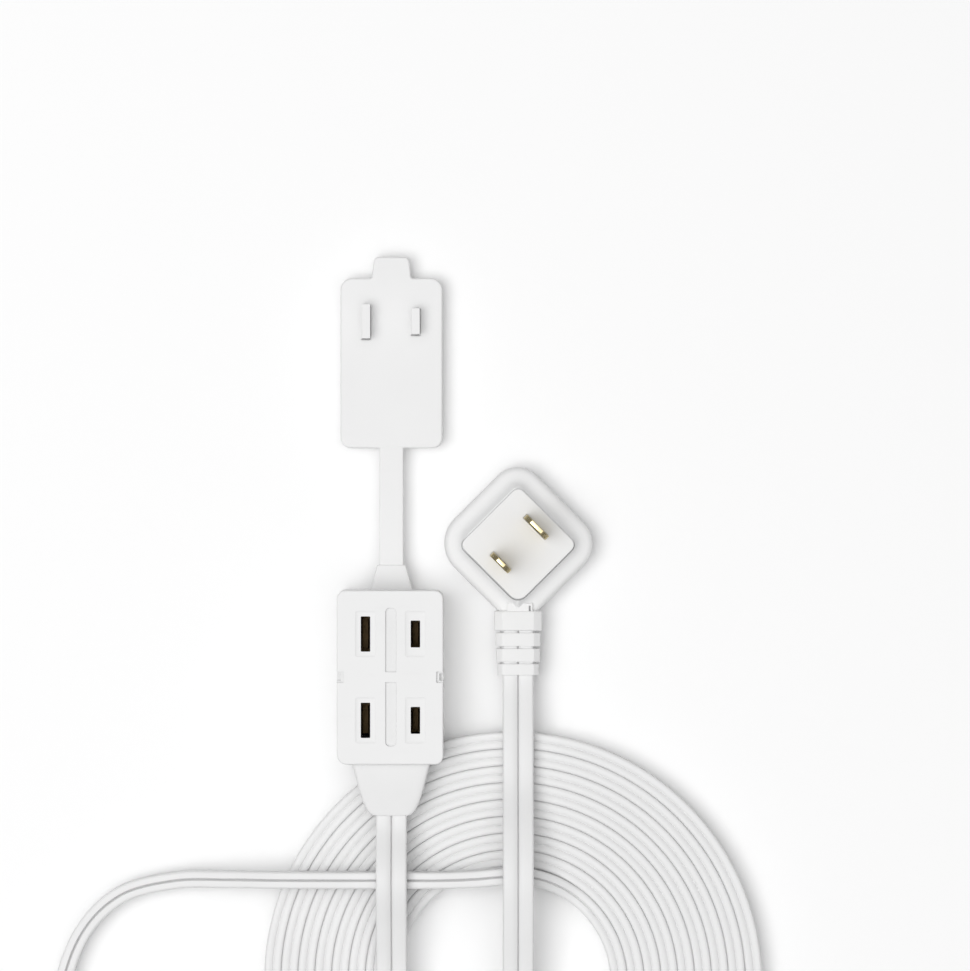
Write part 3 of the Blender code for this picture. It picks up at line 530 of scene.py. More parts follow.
def soft_profile(low: float, high: float, low_round: float, high_round: float, steps: int = 6) -> np.ndarray:
    """A wall's profile with quarter rounds at its foot and its top.

    Args:
        low: height of the foot.
        high: height of the top.
        low_round: radius at the foot.
        high_round: radius at the top.
        steps: segments in each round.

    Returns:
        Rows of inset and height, from the foot up.  A last row just inside each round keeps the flats flat.
    """
    turn = np.linspace(0, math.pi / 2, steps + 1)
    foot = np.column_stack((low_round * (1 - np.sin(turn)), low + low_round * (1 - np.cos(turn))))
    top = np.column_stack((high_round * (1 - np.cos(turn)), high - high_round * (1 - np.sin(turn))))
    rim = 0.06 * MM
    return np.concatenate(([(low_round + rim, low)], foot, top, [(high_round + rim, high)]))


def circle(radius: float, points: int) -> np.ndarray:
    """A circle round the origin: the radius times the cosine and the sine of evenly spaced angles."""
    angle = np.linspace(0, 2 * math.pi, points, endpoint=False)
    return radius * np.column_stack((np.cos(angle), np.sin(angle)))


def at_height(outline: np.ndarray, height: float) -> np.ndarray:
    """Lift a flat outline to a height."""
    return np.column_stack((outline, np.full(len(outline), height)))


def rings_of(outline: np.ndarray, profile: object) -> np.ndarray:
    """Carry a profile of inset and height round an outline: one ring for each of its rows."""
    return np.stack([at_height(inset(outline, depth), height) for depth, height in profile])


def prism(outline: np.ndarray, low: float, high: float) -> np.ndarray:
    """The two rings of an upright bar."""
    return rings_of(outline, [(0.0, low), (0.0, high)])


def read_off(table: Table, at: np.ndarray) -> np.ndarray:
    """Read a table of places and values, in straight lines between its rows."""
    return np.interp(at, *zip(*table))


def oval_rings(spine: np.ndarray, across: np.ndarray, up: np.ndarray, square: np.ndarray,
               around: int) -> np.ndarray:
    """Rings of rounded-square section along +Y.

    At an angle, x is the half width times the cosine's size to the power 2 over the squareness, with the
    cosine's sign, and z the same from the half height and the sine.

    Args:
        spine: x, y and z of each ring's middle.
        across: each ring's half width.
        up: each ring's half height.
        square: each ring's squareness, 2 for an ellipse and more for a squarer section.
        around: points in a ring.

    Returns:
        The rings.
    """
    angle = np.linspace(0, 2 * math.pi, around, endpoint=False)[None]
    power = 2 / np.asarray(square, float)[:, None]
    x = np.sign(np.cos(angle)) * np.abs(np.cos(angle)) ** power * np.asarray(across)[:, None]
    z = np.sign(np.sin(angle)) * np.abs(np.sin(angle)) ** power * np.asarray(up)[:, None]
    return np.stack((x, np.zeros_like(x), z), axis=2) + np.asarray(spine)[:, None, :]


SHARP = 24.0


def six_volumes(first: np.ndarray, second: np.ndarray, third: np.ndarray) -> float:
    """Six times the signed volume between the origin and some triangles."""
    return float((first * np.cross(second, third)).sum())


def loft(name: str, rings: np.ndarray, sharp: float = SHARP) -> bpy.types.Object:
    """Join rings of points into a closed mesh with a face across each end.

    Args:
        name: the object's name.
        rings: an array of rings, points and coordinates.
        sharp: the angle in degrees past which an edge stays sharp.

    Returns:
        The object, its faces pointing out.
    """
    count, around = rings.shape[:2]
    grid = np.arange(count * around).reshape(count, around)
    ahead = np.roll(grid, -1, axis=1)
    quads = np.stack((grid[:-1], ahead[:-1], ahead[1:], grid[1:]), axis=2).reshape(-1, 4)
    points = rings.reshape(-1, 3)
    a, b, c, d = (points[quads[:, corner]] for corner in range(4))
    volume = six_volumes(a, b, c) + six_volumes(a, c, d)
    for ring, sign in ((rings[0], -1), (rings[-1], 1)):
        volume += sign * six_volumes(ring.mean(0), ring, np.roll(ring, -1, 0))
    faces = quads.tolist() + [grid[0][::-1].tolist(), grid[-1].tolist()]
    if volume <= 0:
        faces = [face[::-1] for face in faces]
    mesh = bpy.data.meshes.new(name)
    mesh.from_pydata(points.tolist(), [], faces)
    mesh.update()
    item = bpy.data.objects.new(name, mesh)
    bpy.context.scene.collection.objects.link(item)
    shade(item, sharp)
    return item


def shade(item: bpy.types.Object, sharp: float) -> None:
    """Shade a mesh smooth but for edges past an angle in degrees."""
    item.data.shade_smooth()
    item.data.set_sharp_from_angle(angle=math.radians(sharp))


def carve(item: bpy.types.Object, cutter: bpy.types.Object) -> None:
    """Cut one closed mesh out of another; the cut faces take the cutter's material.

    Args:
        item: the mesh that is cut.
        cutter: the mesh that is taken away, and then removed.
    """
    modifier = item.modifiers.new("carve", "BOOLEAN")
    modifier.operation = "DIFFERENCE"
    modifier.solver = "EXACT"
    modifier.material_mode = "TRANSFER"
    modifier.object = cutter
    bpy.context.view_layer.update()
    mesh = bpy.data.meshes.new_from_object(item.evaluated_get(bpy.context.evaluated_depsgraph_get()))
    item.modifiers.clear()
    item.data = mesh
    bpy.data.objects.remove(cutter)
    shade(item, SHARP)


@dataclass
class Bench:
    """Finishes pieces: material, body and the solids that they stand for."""

    shop: Workshop = field(default_factory=Workshop)
    placed: list[str] = field(default_factory=list)

    def paint(self, item: bpy.types.Object, finish: Finish) -> bpy.types.Object:
        """Give a piece one finish."""
        item.data.materials.clear()
        item.data.materials.append(self.shop.material(finish))
        return item

    def make(self, name: str, rings: np.ndarray, finish: Finish, sharp: float = SHARP) -> bpy.types.Object:
        """Join rings into a piece with one finish."""
        return self.paint(loft(name, rings, sharp), finish)

    def cut(self, item: bpy.types.Object, rings: np.ndarray, finish: Finish) -> None:
        """Take a closed shape out of a piece, whose cut faces get a finish."""
        carve(item, self.make("cutter", rings, finish))

    def fit(self, item: bpy.types.Object, slot: Slot, body: str, *nodes: str) -> bpy.types.Object:
        """Send a finished piece with a body.

        Args:
            item: the piece.
            slot: not used.
            body: the body it rides on.
            nodes: the solids it stands for.

        Returns:
            The piece.
        """
        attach(item, body)
        if nodes:
            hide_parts(*nodes)
        self.report(item)
        return item

    def report(self, item: bpy.types.Object) -> None:
        """Log a piece and its size in faces."""
        self.placed.append(item.name)
        log.info("%s: %d faces", item.name, len(item.data.polygons))


ROOT = "outlet_block"
COVER = "safety_cover"
SLOT_X = (-6.2 * MM, 6.4 * MM)
OUTLET_Y = (-24.8 * MM, -46.6 * MM)


def middle_of(node: str) -> np.ndarray:
    """The middle of a solid's box."""
    low, high = (np.array(corner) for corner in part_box(node))
    return (low + high) / 2


# ------------------------------------------------------------------ outlet block

@dataclass
class OutletBlock:
    """The two-outlet block: front shell, back shell and the tapered relief that its cord leaves by."""

    bench: Bench
    wall: float = 2.1 * MM
    face: float = 2.8 * MM
    edge: float = 0.4 * MM
    corners: Sizes = (2.6 * MM, 2.1 * MM, 2.2 * MM, 2.1 * MM)
    parting: float = 0.06 * MM
    parting_edge: float = 0.18 * MM
    back_edge: float = 0.7 * MM
    back_face: float = 2.0 * MM
    slot_x: Pair = SLOT_X
    slot_length: Pair = (8.9 * MM, 6.8 * MM)
    slot_width: float = 2.38 * MM
    slot_corner: float = 0.22 * MM
    outlets: Pair = OUTLET_Y
    recess: Triple = (5.2 * MM, 11.6 * MM, 0.14 * MM)
    recess_corner: float = 0.6 * MM
    recess_slope: float = 0.5 * MM
    recess_flare: float = 0.06 * MM
    channel: Triple = (2.85 * MM, 16.25 * MM, 0.7 * MM)
    channel_corners: Pair = (1.15 * MM, 0.25 * MM)
    channel_edge: float = 0.08 * MM
    channel_x: float = 0.2 * MM
    channel_gap: float = 2.5 * MM
    middle_y: float = -35.7 * MM
    windows: Table = (
        (1.8 * MM, 2.85 * MM, 0.9 * MM), (1.0 * MM, 1.9 * MM, 2.4 * MM))
    window_corner: float = 0.25 * MM
    cavity_end: float = -50.9 * MM
    cavity_corner: float = 1.0 * MM
    passage: Triple = (11.4 * MM, 5.4 * MM, 0.4 * MM)
    scoop_gap: float = 0.7 * MM
    relief_height: float = 14.2 * MM
    relief_x: float = 0.25 * MM
    relief_shares: Sizes = (
        -0.22, -0.02, 0.0, 0.02, 0.25, 0.47, 0.53, 0.6, 0.72, 0.84, 0.93, 0.975, 0.993, 1.0, 1.0)
    relief_width: Table = (
        (-0.22, 9.95), (0.0, 9.9), (0.24, 9.05), (0.46, 8.35), (0.7, 7.4), (0.89, 6.35), (0.96, 5.6),
        (1.0, 4.75))
    relief_depth: Table = ((-0.22, 3.8), (0.0, 3.75), (0.47, 3.45), (1.0, 2.75))
    relief_end: Table = ((0.0, 1.0), (0.975, 1.0), (0.993, 0.985), (1.0, 0.95))
    relief_last: float = 0.55
    relief_square: Table = ((0.0, 11.0), (0.5, 10.0), (1.0, 8.0))

    def __post_init__(self) -> None:
        """Take the block's extent from its solids."""
        self.low, self.high = (np.array(corner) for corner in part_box("outlet_front_shell"))
        back_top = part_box("outlet_back_shell")[1][2]
        self.top = float(self.high[2])
        self.above = self.top + MM
        self.split = float(self.low[2] + back_top) / 2
        self.middle_x = (self.low[0] + self.high[0]) / 2

    def outline(self) -> np.ndarray:
        """The block's plan: a rectangle with a rounder corner beside the cord."""
        size = (self.high[0] - self.low[0], self.high[1] - self.low[1])
        return box_outline((self.middle_x, (self.low[1] + self.high[1]) / 2), size, self.corners)

    def hollow(self, shell: bpy.types.Object, low: float, high: float) -> None:
        """Cut the hollow that both shells share; its walls are painted near black as shade.

        Args:
            shell: the shell.
            low: the hollow's lowest height.
            high: its highest height.
        """
        start, end = self.cavity_end, self.high[1] - self.wall
        size = (self.high[0] - self.low[0] - 2 * self.wall, end - start)
        plan = box_outline((self.middle_x, (start + end) / 2), size, self.cavity_corner, 3)
        self.bench.cut(shell, prism(plan, low, high), PAINTED_SHADE_BLACK)

    def cut_outlets(self, shell: bpy.types.Object) -> None:
        """Cut each slot, inside a shallow recess whose walls slope up to a slightly flared rim; the slot's
        walls are painted near black as shade.
        """
        width, long, depth = self.recess
        levels = [(self.recess_slope, self.top - depth), (0.0, self.top - 0.02 * MM),
                  (-self.recess_flare, self.top + 0.01 * MM), (-self.recess_flare, self.above)]
        for x, length in zip(self.slot_x, self.slot_length):
            for y in self.outlets:
                recess = box_outline((x, y), (width, long), self.recess_corner, 4)
                self.bench.cut(shell, rings_of(recess, levels), SHELL_WHITE)
                slot = box_outline((x, y), (self.slot_width, length), self.slot_corner, 4)
                self.bench.cut(shell, prism(slot, self.top - 2 * self.face, self.above), PAINTED_SHADE_BLACK)

    def cut_channels(self, shell: bpy.types.Object) -> None:
        """Cut the two centre channels, each with rounder corners at its outer end; their faces are painted a
        darker white as shade.
        """
        width, long, depth = self.channel
        floor = self.top - depth
        levels = [(self.channel_edge, floor), (0.0, floor + self.channel_edge), (0.0, self.above)]
        outer, inner = self.channel_corners
        for direction in (-1, 1):
            centre = (self.channel_x, self.middle_y + direction * (self.channel_gap + long) / 2)
            radii = [outer if side == direction else inner for side in (-1, -1, 1, 1)]
            plan = box_outline(centre, (width, long), radii, 6)
            self.bench.cut(shell, rings_of(plan, levels), SHADED_RECESS_WHITE)

    def cut_windows(self, shell: bpy.types.Object) -> None:
        """Cut the stepped snap window in each long edge; its faces are painted a darker white as shade."""
        for edge_x in (self.low[0], self.high[0]):
            for reach, tall, depth in self.windows:
                plan = box_outline((edge_x, self.middle_y), (2 * reach, tall), self.window_corner, 4)
                self.bench.cut(shell, prism(plan, self.top - depth, self.above), SHADED_RECESS_WHITE)

    def cut_passage(self, shell: bpy.types.Object) -> None:
        """Cut the passage that the cord enters by; its walls are painted near black as shade."""
        width, tall, corner = self.passage
        plan = box_outline((0.0, (self.low[1] + self.cavity_end) / 2),
                           (width, self.cavity_end - self.low[1] + 2 * MM), corner, 3)
        low, high = self.relief_height - tall / 2, self.relief_height + tall / 2
        self.bench.cut(shell, prism(plan, low, high), PAINTED_SHADE_BLACK)

    def build_front(self) -> None:
        """The front shell: the hollow, outlets, centre channels, snap windows and the cord's passage."""
        profile = soft_profile(self.split + self.parting, self.top, self.parting_edge, self.edge)
        shell = self.bench.make("front_shell", rings_of(self.outline(), profile), SHELL_WHITE)
        self.hollow(shell, self.split - MM, self.top - self.face)
        for cut in (self.cut_outlets, self.cut_channels, self.cut_windows, self.cut_passage):
            cut(shell)
        self.bench.fit(shell, Slot.SHELL, ROOT, "outlet_front_shell")

    def build_back(self) -> None:
        """The back shell: the hollow, and a scoop that clears the coil."""
        profile = soft_profile(0.0, self.split - self.parting, self.back_edge, self.parting_edge)
        shell = self.bench.make("back_shell", rings_of(self.outline(), profile), SHELL_WHITE)
        self.hollow(shell, self.back_face, self.split + MM)
        coil_low, coil_high = (np.array(corner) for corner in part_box("cord_coil"))
        reach = (coil_high[0] - coil_low[0]) / 2 + self.scoop_gap
        disc = circle(reach, 240) + ((coil_low + coil_high) / 2)[:2]
        self.bench.cut(shell, prism(disc, -MM, self.split + MM), SHELL_WHITE)
        self.bench.fit(shell, Slot.SHELL, ROOT, "outlet_back_shell")

    def build_relief(self) -> None:
        """The tapered relief: a rounded-square section that narrows in two slopes towards the cord."""
        start, end = float(self.low[1]), float(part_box("outlet_strain_relief")[0][1])
        share = np.array(self.relief_shares)
        shrink = read_off(self.relief_end, share)
        shrink[-1] = self.relief_last
        y = start + (end - start) * share
        spine = np.column_stack((np.full_like(y, self.relief_x), y, np.full_like(y, self.relief_height)))
        rings = oval_rings(spine, read_off(self.relief_width, share) * MM * shrink,
                           read_off(self.relief_depth, share) * MM * shrink,
                           read_off(self.relief_square, share), 64)
        relief = self.bench.make("outlet_relief", rings, RELIEF_WHITE)
        self.bench.fit(relief, Slot.VINYL, ROOT, "outlet_strain_relief")

    def dress_contacts(self) -> None:
        """Give the stamped contacts and the conductors inside the block their finishes."""
        for name, item in frame["nodes"].items():
            if "bus_bar" in name or "clip" in name or "crimp" in name:
                self.bench.paint(item, CONTACT_BRASS)
            elif "hot_conductor" in name:
                self.bench.paint(item, HOT_WIRE)
            elif "neutral_conductor" in name:
                self.bench.paint(item, NEUTRAL_WIRE)

    def build(self) -> None:
        """Build the block and dress what is inside it."""
        self.build_front()
        self.build_back()
        self.build_relief()
        self.dress_contacts()


# ------------------------------------------------------------------ strap and safety cover

@dataclass
class SafetyCover:
    """The soft moulding that folds over the outlets: a strap in three lengths, plate, tab and prongs."""

    bench: Bench
    middle: float = 0.2 * MM
    strap_half: float = 3.02 * MM
    strap_thick: float = 2.4 * MM
    strap_square: float = 11.0
    strap_into_block: float = 2.0 * MM
    strap_into_plate: float = 1.5 * MM
    bend_reach: float = 3.4 * MM
    flare_length: float = 6.35 * MM
    plate_half: float = 12.95 * MM
    plate_end: float = 65.4 * MM
    plate_gap: float = 0.6 * MM
    plate_edges: Pair = (0.55 * MM, 0.5 * MM)
    corner: Pair = (2.6 * MM, 3.0 * MM)
    tab_foot: Pair = (5.0 * MM, 0.7 * MM)
    tab_tip: Pair = (4.45 * MM, 1.5 * MM)
    prong_x: Pair = SLOT_X
    prong_size: Table = ((2.14 * MM, 8.7 * MM), (2.1 * MM, 6.6 * MM))
    prong_height: float = 5.0 * MM
    prong_root: float = 1.2 * MM
    prong_edges: Triple = (0.3 * MM, 0.05 * MM, 0.14 * MM)
    side_groove: Pair = (0.16 * MM, 0.45 * MM)
    end_groove: Pair = (0.42 * MM, 1.1 * MM)

    def __post_init__(self) -> None:
        """Take the hinges' places from the frame, and the ends of cover and block from their solids."""
        by_name = {joint["name"]: np.array(joint["pos_m"]) for joint in frame["joints"]}
        self.hinges = [by_name[name] for name in ("strap_root_bend", "strap_middle_bend", "cover_bend")]
        self.tab_end = float(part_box("safety_cover")[1][1])
        self.block_end = float(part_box("outlet_front_shell")[1][1])
        self.plane = float(self.hinges[0][2])
        self.face = self.plane + self.strap_thick / 2
        self.unfolded = float(self.hinges[0][1] + self.hinges[2][1])
        self.plate_start = self.unfolded - self.block_end + self.plate_gap
        self.prong_y = self.unfolded - OUTLET_Y[1]

    def strap_rings(self, stations: np.ndarray) -> np.ndarray:
        """Rings of the strap along +Y: it flares towards the block, and thins a little into the plate.

        Args:
            stations: where the rings are along +Y.

        Returns:
            The rings.
        """
        full, half = self.strap_thick / 2, self.strap_half
        flare_end = self.block_end + self.flare_length
        lip, brow, heel = (flare_end - back * MM for back in (0.5, 0.22, 0.08))
        widths = ((self.block_end, 5.4 * MM), (lip, 3.75 * MM), (heel, 3.55 * MM), (flare_end, half),
                  (self.tab_end, half))
        depths = ((self.block_end, 2.1 * MM), (lip, full + 0.3 * MM), (brow, full + 0.26 * MM),
                  (heel, full + 0.17 * MM), (flare_end, full), (self.plate_start, full),
                  (self.plate_start + 0.3 * MM, full - 0.08 * MM))
        middle, plane, square = (np.full_like(stations, value)
                                 for value in (self.middle, self.plane, self.strap_square))
        spine = np.column_stack((middle, stations, plane))
        return oval_rings(spine, read_off(widths, stations), read_off(depths, stations), square, 56)

    def build_strap(self) -> None:
        """The strap: each length spans one hinge and meets the next in the middle of a link."""
        first, second, third = (float(hinge[1]) for hinge in self.hinges)
        joins = [self.block_end - self.strap_into_block, (first + second) / 2, (second + third) / 2,
                 self.plate_start + self.strap_into_plate]
        nodes = (("strap_anchor",), ("strap_link_1",), ("strap_link_2",))
        for number, hinge in enumerate((first, second, third)):
            stations = np.linspace(joins[number], joins[number + 1], 30)
            if number == 0:
                flare = self.block_end + self.flare_length + np.array([-0.5, -0.22, -0.08, 0.0, 0.04]) * MM
                stations = np.sort(np.append(stations, flare))
            piece = self.bench.make(f"strap_length_{number + 1}", self.strap_rings(stations), VINYL_WHITE)
            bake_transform(piece)
            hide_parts(*nodes[number])
            self.bench.report(piece)

    def build_plate(self) -> None:
        """The plate and its pull tab on one outline, with soft edges."""
        half, end, tab_end = self.plate_half, self.plate_end, self.tab_end
        low_corner, high_corner = self.corner
        (foot, foot_round), (tip, tip_round) = self.tab_foot, self.tab_tip
        corners = [
            (-half, self.plate_start, low_corner), (half, self.plate_start, low_corner),
            (half, end, high_corner), (foot, end, foot_round), (tip, tab_end, tip_round),
            (-tip, tab_end, tip_round), (-foot, end, foot_round), (-half, end, high_corner),
        ]
        profile = soft_profile(0.0, self.face, *self.plate_edges)
        outline = filleted(corners) + (self.middle, 0.0)
        plate = self.bench.make("cover_plate", rings_of(outline, profile), VINYL_WHITE)
        self.groove_round_prongs(plate)
        self.bench.fit(plate, Slot.VINYL, COVER, "safety_cover")

    def groove_round_prongs(self, plate: bpy.types.Object) -> None:
        """Cut the narrow mould line beside and below each prong's foot."""
        y, (side, side_depth), (end, end_depth) = self.prong_y, self.side_groove, self.end_groove
        for x, (width, length) in zip(self.prong_x, self.prong_size):
            cuts = (((x + width / 2 + side / 2, y), (side, length), side_depth),
                    ((x, y - length / 2 - end / 2), (width + 2 * side, end), end_depth))
            for centre, size, depth in cuts:
                plan = box_outline(centre, size, 0.05 * MM, 2)
                self.bench.cut(plate, prism(plan, self.face - depth, self.face + MM), VINYL_WHITE)

    def build_prongs(self) -> None:
        """The dummy prongs: upright bars with a small bevel round the tip."""
        corner, *rounds = self.prong_edges
        profile = soft_profile(self.face - self.prong_root, self.face + self.prong_height, *rounds, 3)
        for pole, x, size in zip(Pole, self.prong_x, self.prong_size):
            rings = rings_of(box_outline((x, self.prong_y), size, corner, 4), profile)
            prong = self.bench.make(f"{pole.name.lower()}_prong", rings, VINYL_WHITE)
            self.bench.fit(prong, Slot.VINYL, COVER)

    def build(self) -> None:
        """Build the strap, the plate and the prongs."""
        self.build_strap()
        self.build_plate()
        self.build_prongs()


# ------------------------------------------------------------------ plug

@dataclass
class FlatPlug:
    """The flat plug: soft square flange turned 45 degrees, raised blade carrier, blades, collar and bands."""

    bench: Bench
    flange_sides: Sizes = (15.6 * MM, 15.5 * MM, 15.75 * MM, 16.1 * MM)
    flange_corners: Sizes = (2.0 * MM, 7.4 * MM, 7.0 * MM, 8.8 * MM)
    smallest_corner: float = 0.6 * MM
    flange_foot: float = 0.8 * MM
    shoulder: float = 1.7 * MM
    shoulder_drop: float = 1.5 * MM
    cove: Table = (
        (2.7, -1.3), (3.4, -1.05), (4.0, -0.6), (4.5, 0.0), (4.9, 0.6), (5.2, 0.95), (6.2, 0.95))
    carrier_half: float = 10.6 * MM
    carrier_corners: Sizes = (2.8 * MM, 2.0 * MM, 2.0 * MM, 2.0 * MM)
    carrier_edges: Pair = (0.1 * MM, 0.35 * MM)
    seat_gaps: Sizes = (0.35 * MM, 0.19 * MM, 0.05 * MM, 0.05 * MM)
    seat_depth: float = 0.9 * MM
    carrier_depth: float = 1.3 * MM
    blade_height: float = 17.0 * MM
    blade_width: Pair = (7.75 * MM, 6.3 * MM)
    blade_thick: float = 1.28 * MM
    blade_offset: float = 6.35 * MM
    blade_gap: float = 0.12 * MM
    blade_slot_depth: float = 0.6 * MM
    blade_tip: Table = (
        (-1.6, 0.0, 0.0, 0.0), (-1.5, 0.08, 0.0, 0.0), (-0.42, 1.42, 0.0, 0.0), (-0.02, 1.92, 0.21, 0.1),
        (0.0, 1.97, 0.24, 0.1))
    hole: Pair = (1.6 * MM, 11.7 * MM)
    cord_height: float = 7.2 * MM
    band_top: float = 10.05 * MM
    band_low: float = 3.4 * MM
    band_slope: float = 1.15 * MM
    shoulder_x: float = 3.95 * MM
    collar: Triple = (-19.15, -24.2, 6.05)
    core: Triple = (-19.6, -35.0, 4.6)
    core_top: float = 8.4 * MM
    bands: Table = (
        (-24.75, -28.1, 5.68), (-28.72, -32.05, 5.56), (-32.6, -35.45, 5.25))
    bridge: Sizes = (0.4 * MM, -18.4 * MM, 6.5 * MM, 2.4 * MM)
    bridge_thick: float = 3.5 * MM
    slit: Sizes = (2.95 * MM, -0.15 * MM, 0.52 * MM, 1.45 * MM)
    slit_depth: float = 1.8 * MM

    def __post_init__(self) -> None:
        """Take the plug's middle and heights from its solids."""
        self.centre = middle_of("plug_face")[:2]
        self.ledge = float(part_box("plug_body")[1][2])
        self.top = float(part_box("plug_face")[1][2])
        self.above = self.top + MM
        self.rotation = np.array(Matrix.Rotation(math.radians(45), 3, "Z"))

    def turned(self, rings: np.ndarray) -> np.ndarray:
        """Turn rings by 45 degrees and move them to the plug's middle."""
        return rings @ self.rotation.T + np.array((*self.centre, 0.0))

    def build_flange(self) -> None:
        """The flange: a rounded square whose ledge slopes up to the plateau and ends in a small cove.

        Each ring's sides and corner radii are the flange's less the ring's inset, and no corner gets smaller
        than the smallest radius.
        """
        wall = soft_profile(0.0, self.ledge - self.shoulder_drop, self.flange_foot, self.shoulder)[:-1]
        profile = np.concatenate((wall, np.array(self.cove) * MM + (0.0, self.ledge)))
        sides, corners = np.array(self.flange_sides), np.array(self.flange_corners)
        least = self.smallest_corner
        rings = np.stack([
            at_height(side_outline(sides - depth, np.maximum(corners - depth, least), 16), height)
            for depth, height in profile])
        flange = self.bench.make("plug_flange", self.turned(rings), VINYL_WHITE)
        seat = side_outline(self.carrier_half + np.array(self.seat_gaps), self.carrier_corners, 6)
        floor = self.ledge - self.seat_depth
        self.bench.cut(flange, self.turned(prism(seat, floor, self.above)), VINYL_WHITE)
        self.bench.fit(flange, Slot.VINYL, ROOT, "plug_body")

    def build_carrier(self) -> None:
        """The raised square that the blades stand on, with a slot for each blade."""
        outline = side_outline((self.carrier_half,) * 4, self.carrier_corners, 6)
        profile = soft_profile(self.ledge - self.carrier_depth, self.top, *self.carrier_edges)
        carrier = self.bench.make("blade_carrier", self.turned(rings_of(outline, profile)), SHELL_WHITE)
        floor, gap = self.ledge - self.blade_slot_depth, self.blade_gap
        for pole, width in zip(Pole, self.blade_width):
            slot = box_outline((-pole.value * self.blade_offset, 0.0),
                               (self.blade_thick + 2 * gap, width + 2 * gap), 0.2 * MM, 3)
            self.bench.cut(carrier, self.turned(prism(slot, floor, self.above)), SHELL_WHITE)
        self.bench.fit(carrier, Slot.SHELL, ROOT, "plug_face")

    def build_blades(self) -> None:
        """The blades: flat bars whose edges and faces are both bevelled towards the tip, with a hole each.

        A row of the tip holds its height from the tip, the bevel of the edges, the bevel of the faces and how
        far its middle leans.
        """
        tip = self.top + self.blade_height
        for pole, width in zip(Pole, self.blade_width):
            name = pole.name.lower()
            foot = float(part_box(f"{name}_blade")[0][2])
            rows = np.concatenate(([(foot - tip, 0.0, 0.0, 0.0)], np.array(self.blade_tip) * MM))
            x = -pole.value * self.blade_offset
            rings = np.stack([
                at_height(box_outline((x + lean, 0.0),
                                      (2 * (self.blade_thick / 2 - facing), 2 * (width / 2 - edging)),
                                      0.1 * MM, 3), height + tip)
                for height, edging, facing, lean in rows])
            blade = self.bench.make(f"{name}_plug_blade", self.turned(rings), BLADE_BRASS)
            self.pierce(blade, x)
            self.bench.fit(blade, Slot.BLADE, ROOT, f"{name}_blade")

    def pierce(self, blade: bpy.types.Object, x: float) -> None:
        """Cut the round detent hole near a blade's tip.

        Args:
            blade: the blade.
            x: the blade's middle before the turn.
        """
        radius, height = self.hole
        ring = np.column_stack((np.zeros(32), circle(radius, 32))) + (x, 0.0, self.top + height)
        reach = np.array((2 * MM, 0, 0))
        self.bench.cut(blade, self.turned(np.stack((ring - reach, ring + reach))), BLADE_BRASS)

    def band(self, name: str, span: Triple, top: float, lip: float) -> bpy.types.Object:
        """One band of the relief: a flat top over the cord, sloping shoulders and softened ends.

        Args:
            name: the piece's name.
            span: where it starts and ends along -Y and its half width, in millimetres.
            top: the height of its flat top.
            lip: how far its ends are rounded.

        Returns:
            The band.
        """
        start, end, half = (value * MM for value in span)
        low, slope = self.cord_height - self.band_low, top - self.band_slope
        flat, soft = self.shoulder_x, 0.5 * MM
        section = filleted([
            (-half, low, 0.7 * MM), (half, low, 0.7 * MM), (half, slope, soft),
            (flat, top, 0.6 * MM), (-flat, top, 0.6 * MM), (-half, slope, soft),
        ], 4) + (float(self.centre[0]), 0.0)
        turn = np.linspace(0, math.pi / 2, 5)
        ends = np.concatenate((start - lip * (1 - np.cos(turn)), end + lip * (1 - np.cos(turn[::-1]))))
        depths = np.concatenate((lip * (1 - np.sin(turn)), lip * (1 - np.sin(turn[::-1]))))
        rings = rings_of(section, zip(depths, ends))[:, :, (0, 2, 1)]
        return self.bench.make(name, rings, VINYL_WHITE)

    def build_bridge(self) -> bpy.types.Object:
        """The bridge between the carrier's lowest corner and the collar, with a small open slit at one end
        whose walls are painted near black as shade.

        Returns:
            The bridge.
        """
        x, top = float(self.centre[0]), self.band_top - 0.2 * MM
        aside, y, width, long = self.bridge
        profile = soft_profile(top - self.bridge_thick, top, 0.1 * MM, 0.12 * MM, 3)
        outline = box_outline((x + aside, y), (width, long), 0.2 * MM, 3)
        bridge = self.bench.make("relief_bridge", rings_of(outline, profile), VINYL_WHITE)
        aside, back, width, long = self.slit
        slit = box_outline((x + aside, y + back), (width, long), 0.1 * MM, 2)
        self.bench.cut(bridge, prism(slit, top - self.slit_depth, top + MM), PAINTED_SHADE_BLACK)
        return bridge

    def build_relief(self) -> None:
        """The collar, its bridge, the core, and the bands with open grooves between them."""
        collar = self.band("plug_collar", self.collar, self.band_top + 0.1 * MM, 0.4 * MM)
        self.bench.fit(collar, Slot.VINYL, ROOT, "plug_strain_relief")
        self.bench.fit(self.build_bridge(), Slot.VINYL, ROOT)
        self.bench.fit(self.band("relief_core", self.core, self.core_top, 0.1 * MM), Slot.VINYL, ROOT)
        for number, span in enumerate(self.bands, 1):
            piece = self.band(f"relief_band_{number}", span, self.band_top, 0.12 * MM)
            self.bench.fit(piece, Slot.VINYL, ROOT)

    def build(self) -> None:
        """Build the plug."""
        self.build_flange()
        self.build_carrier()
        self.build_blades()
        self.build_relief()


# ------------------------------------------------------------------ cord

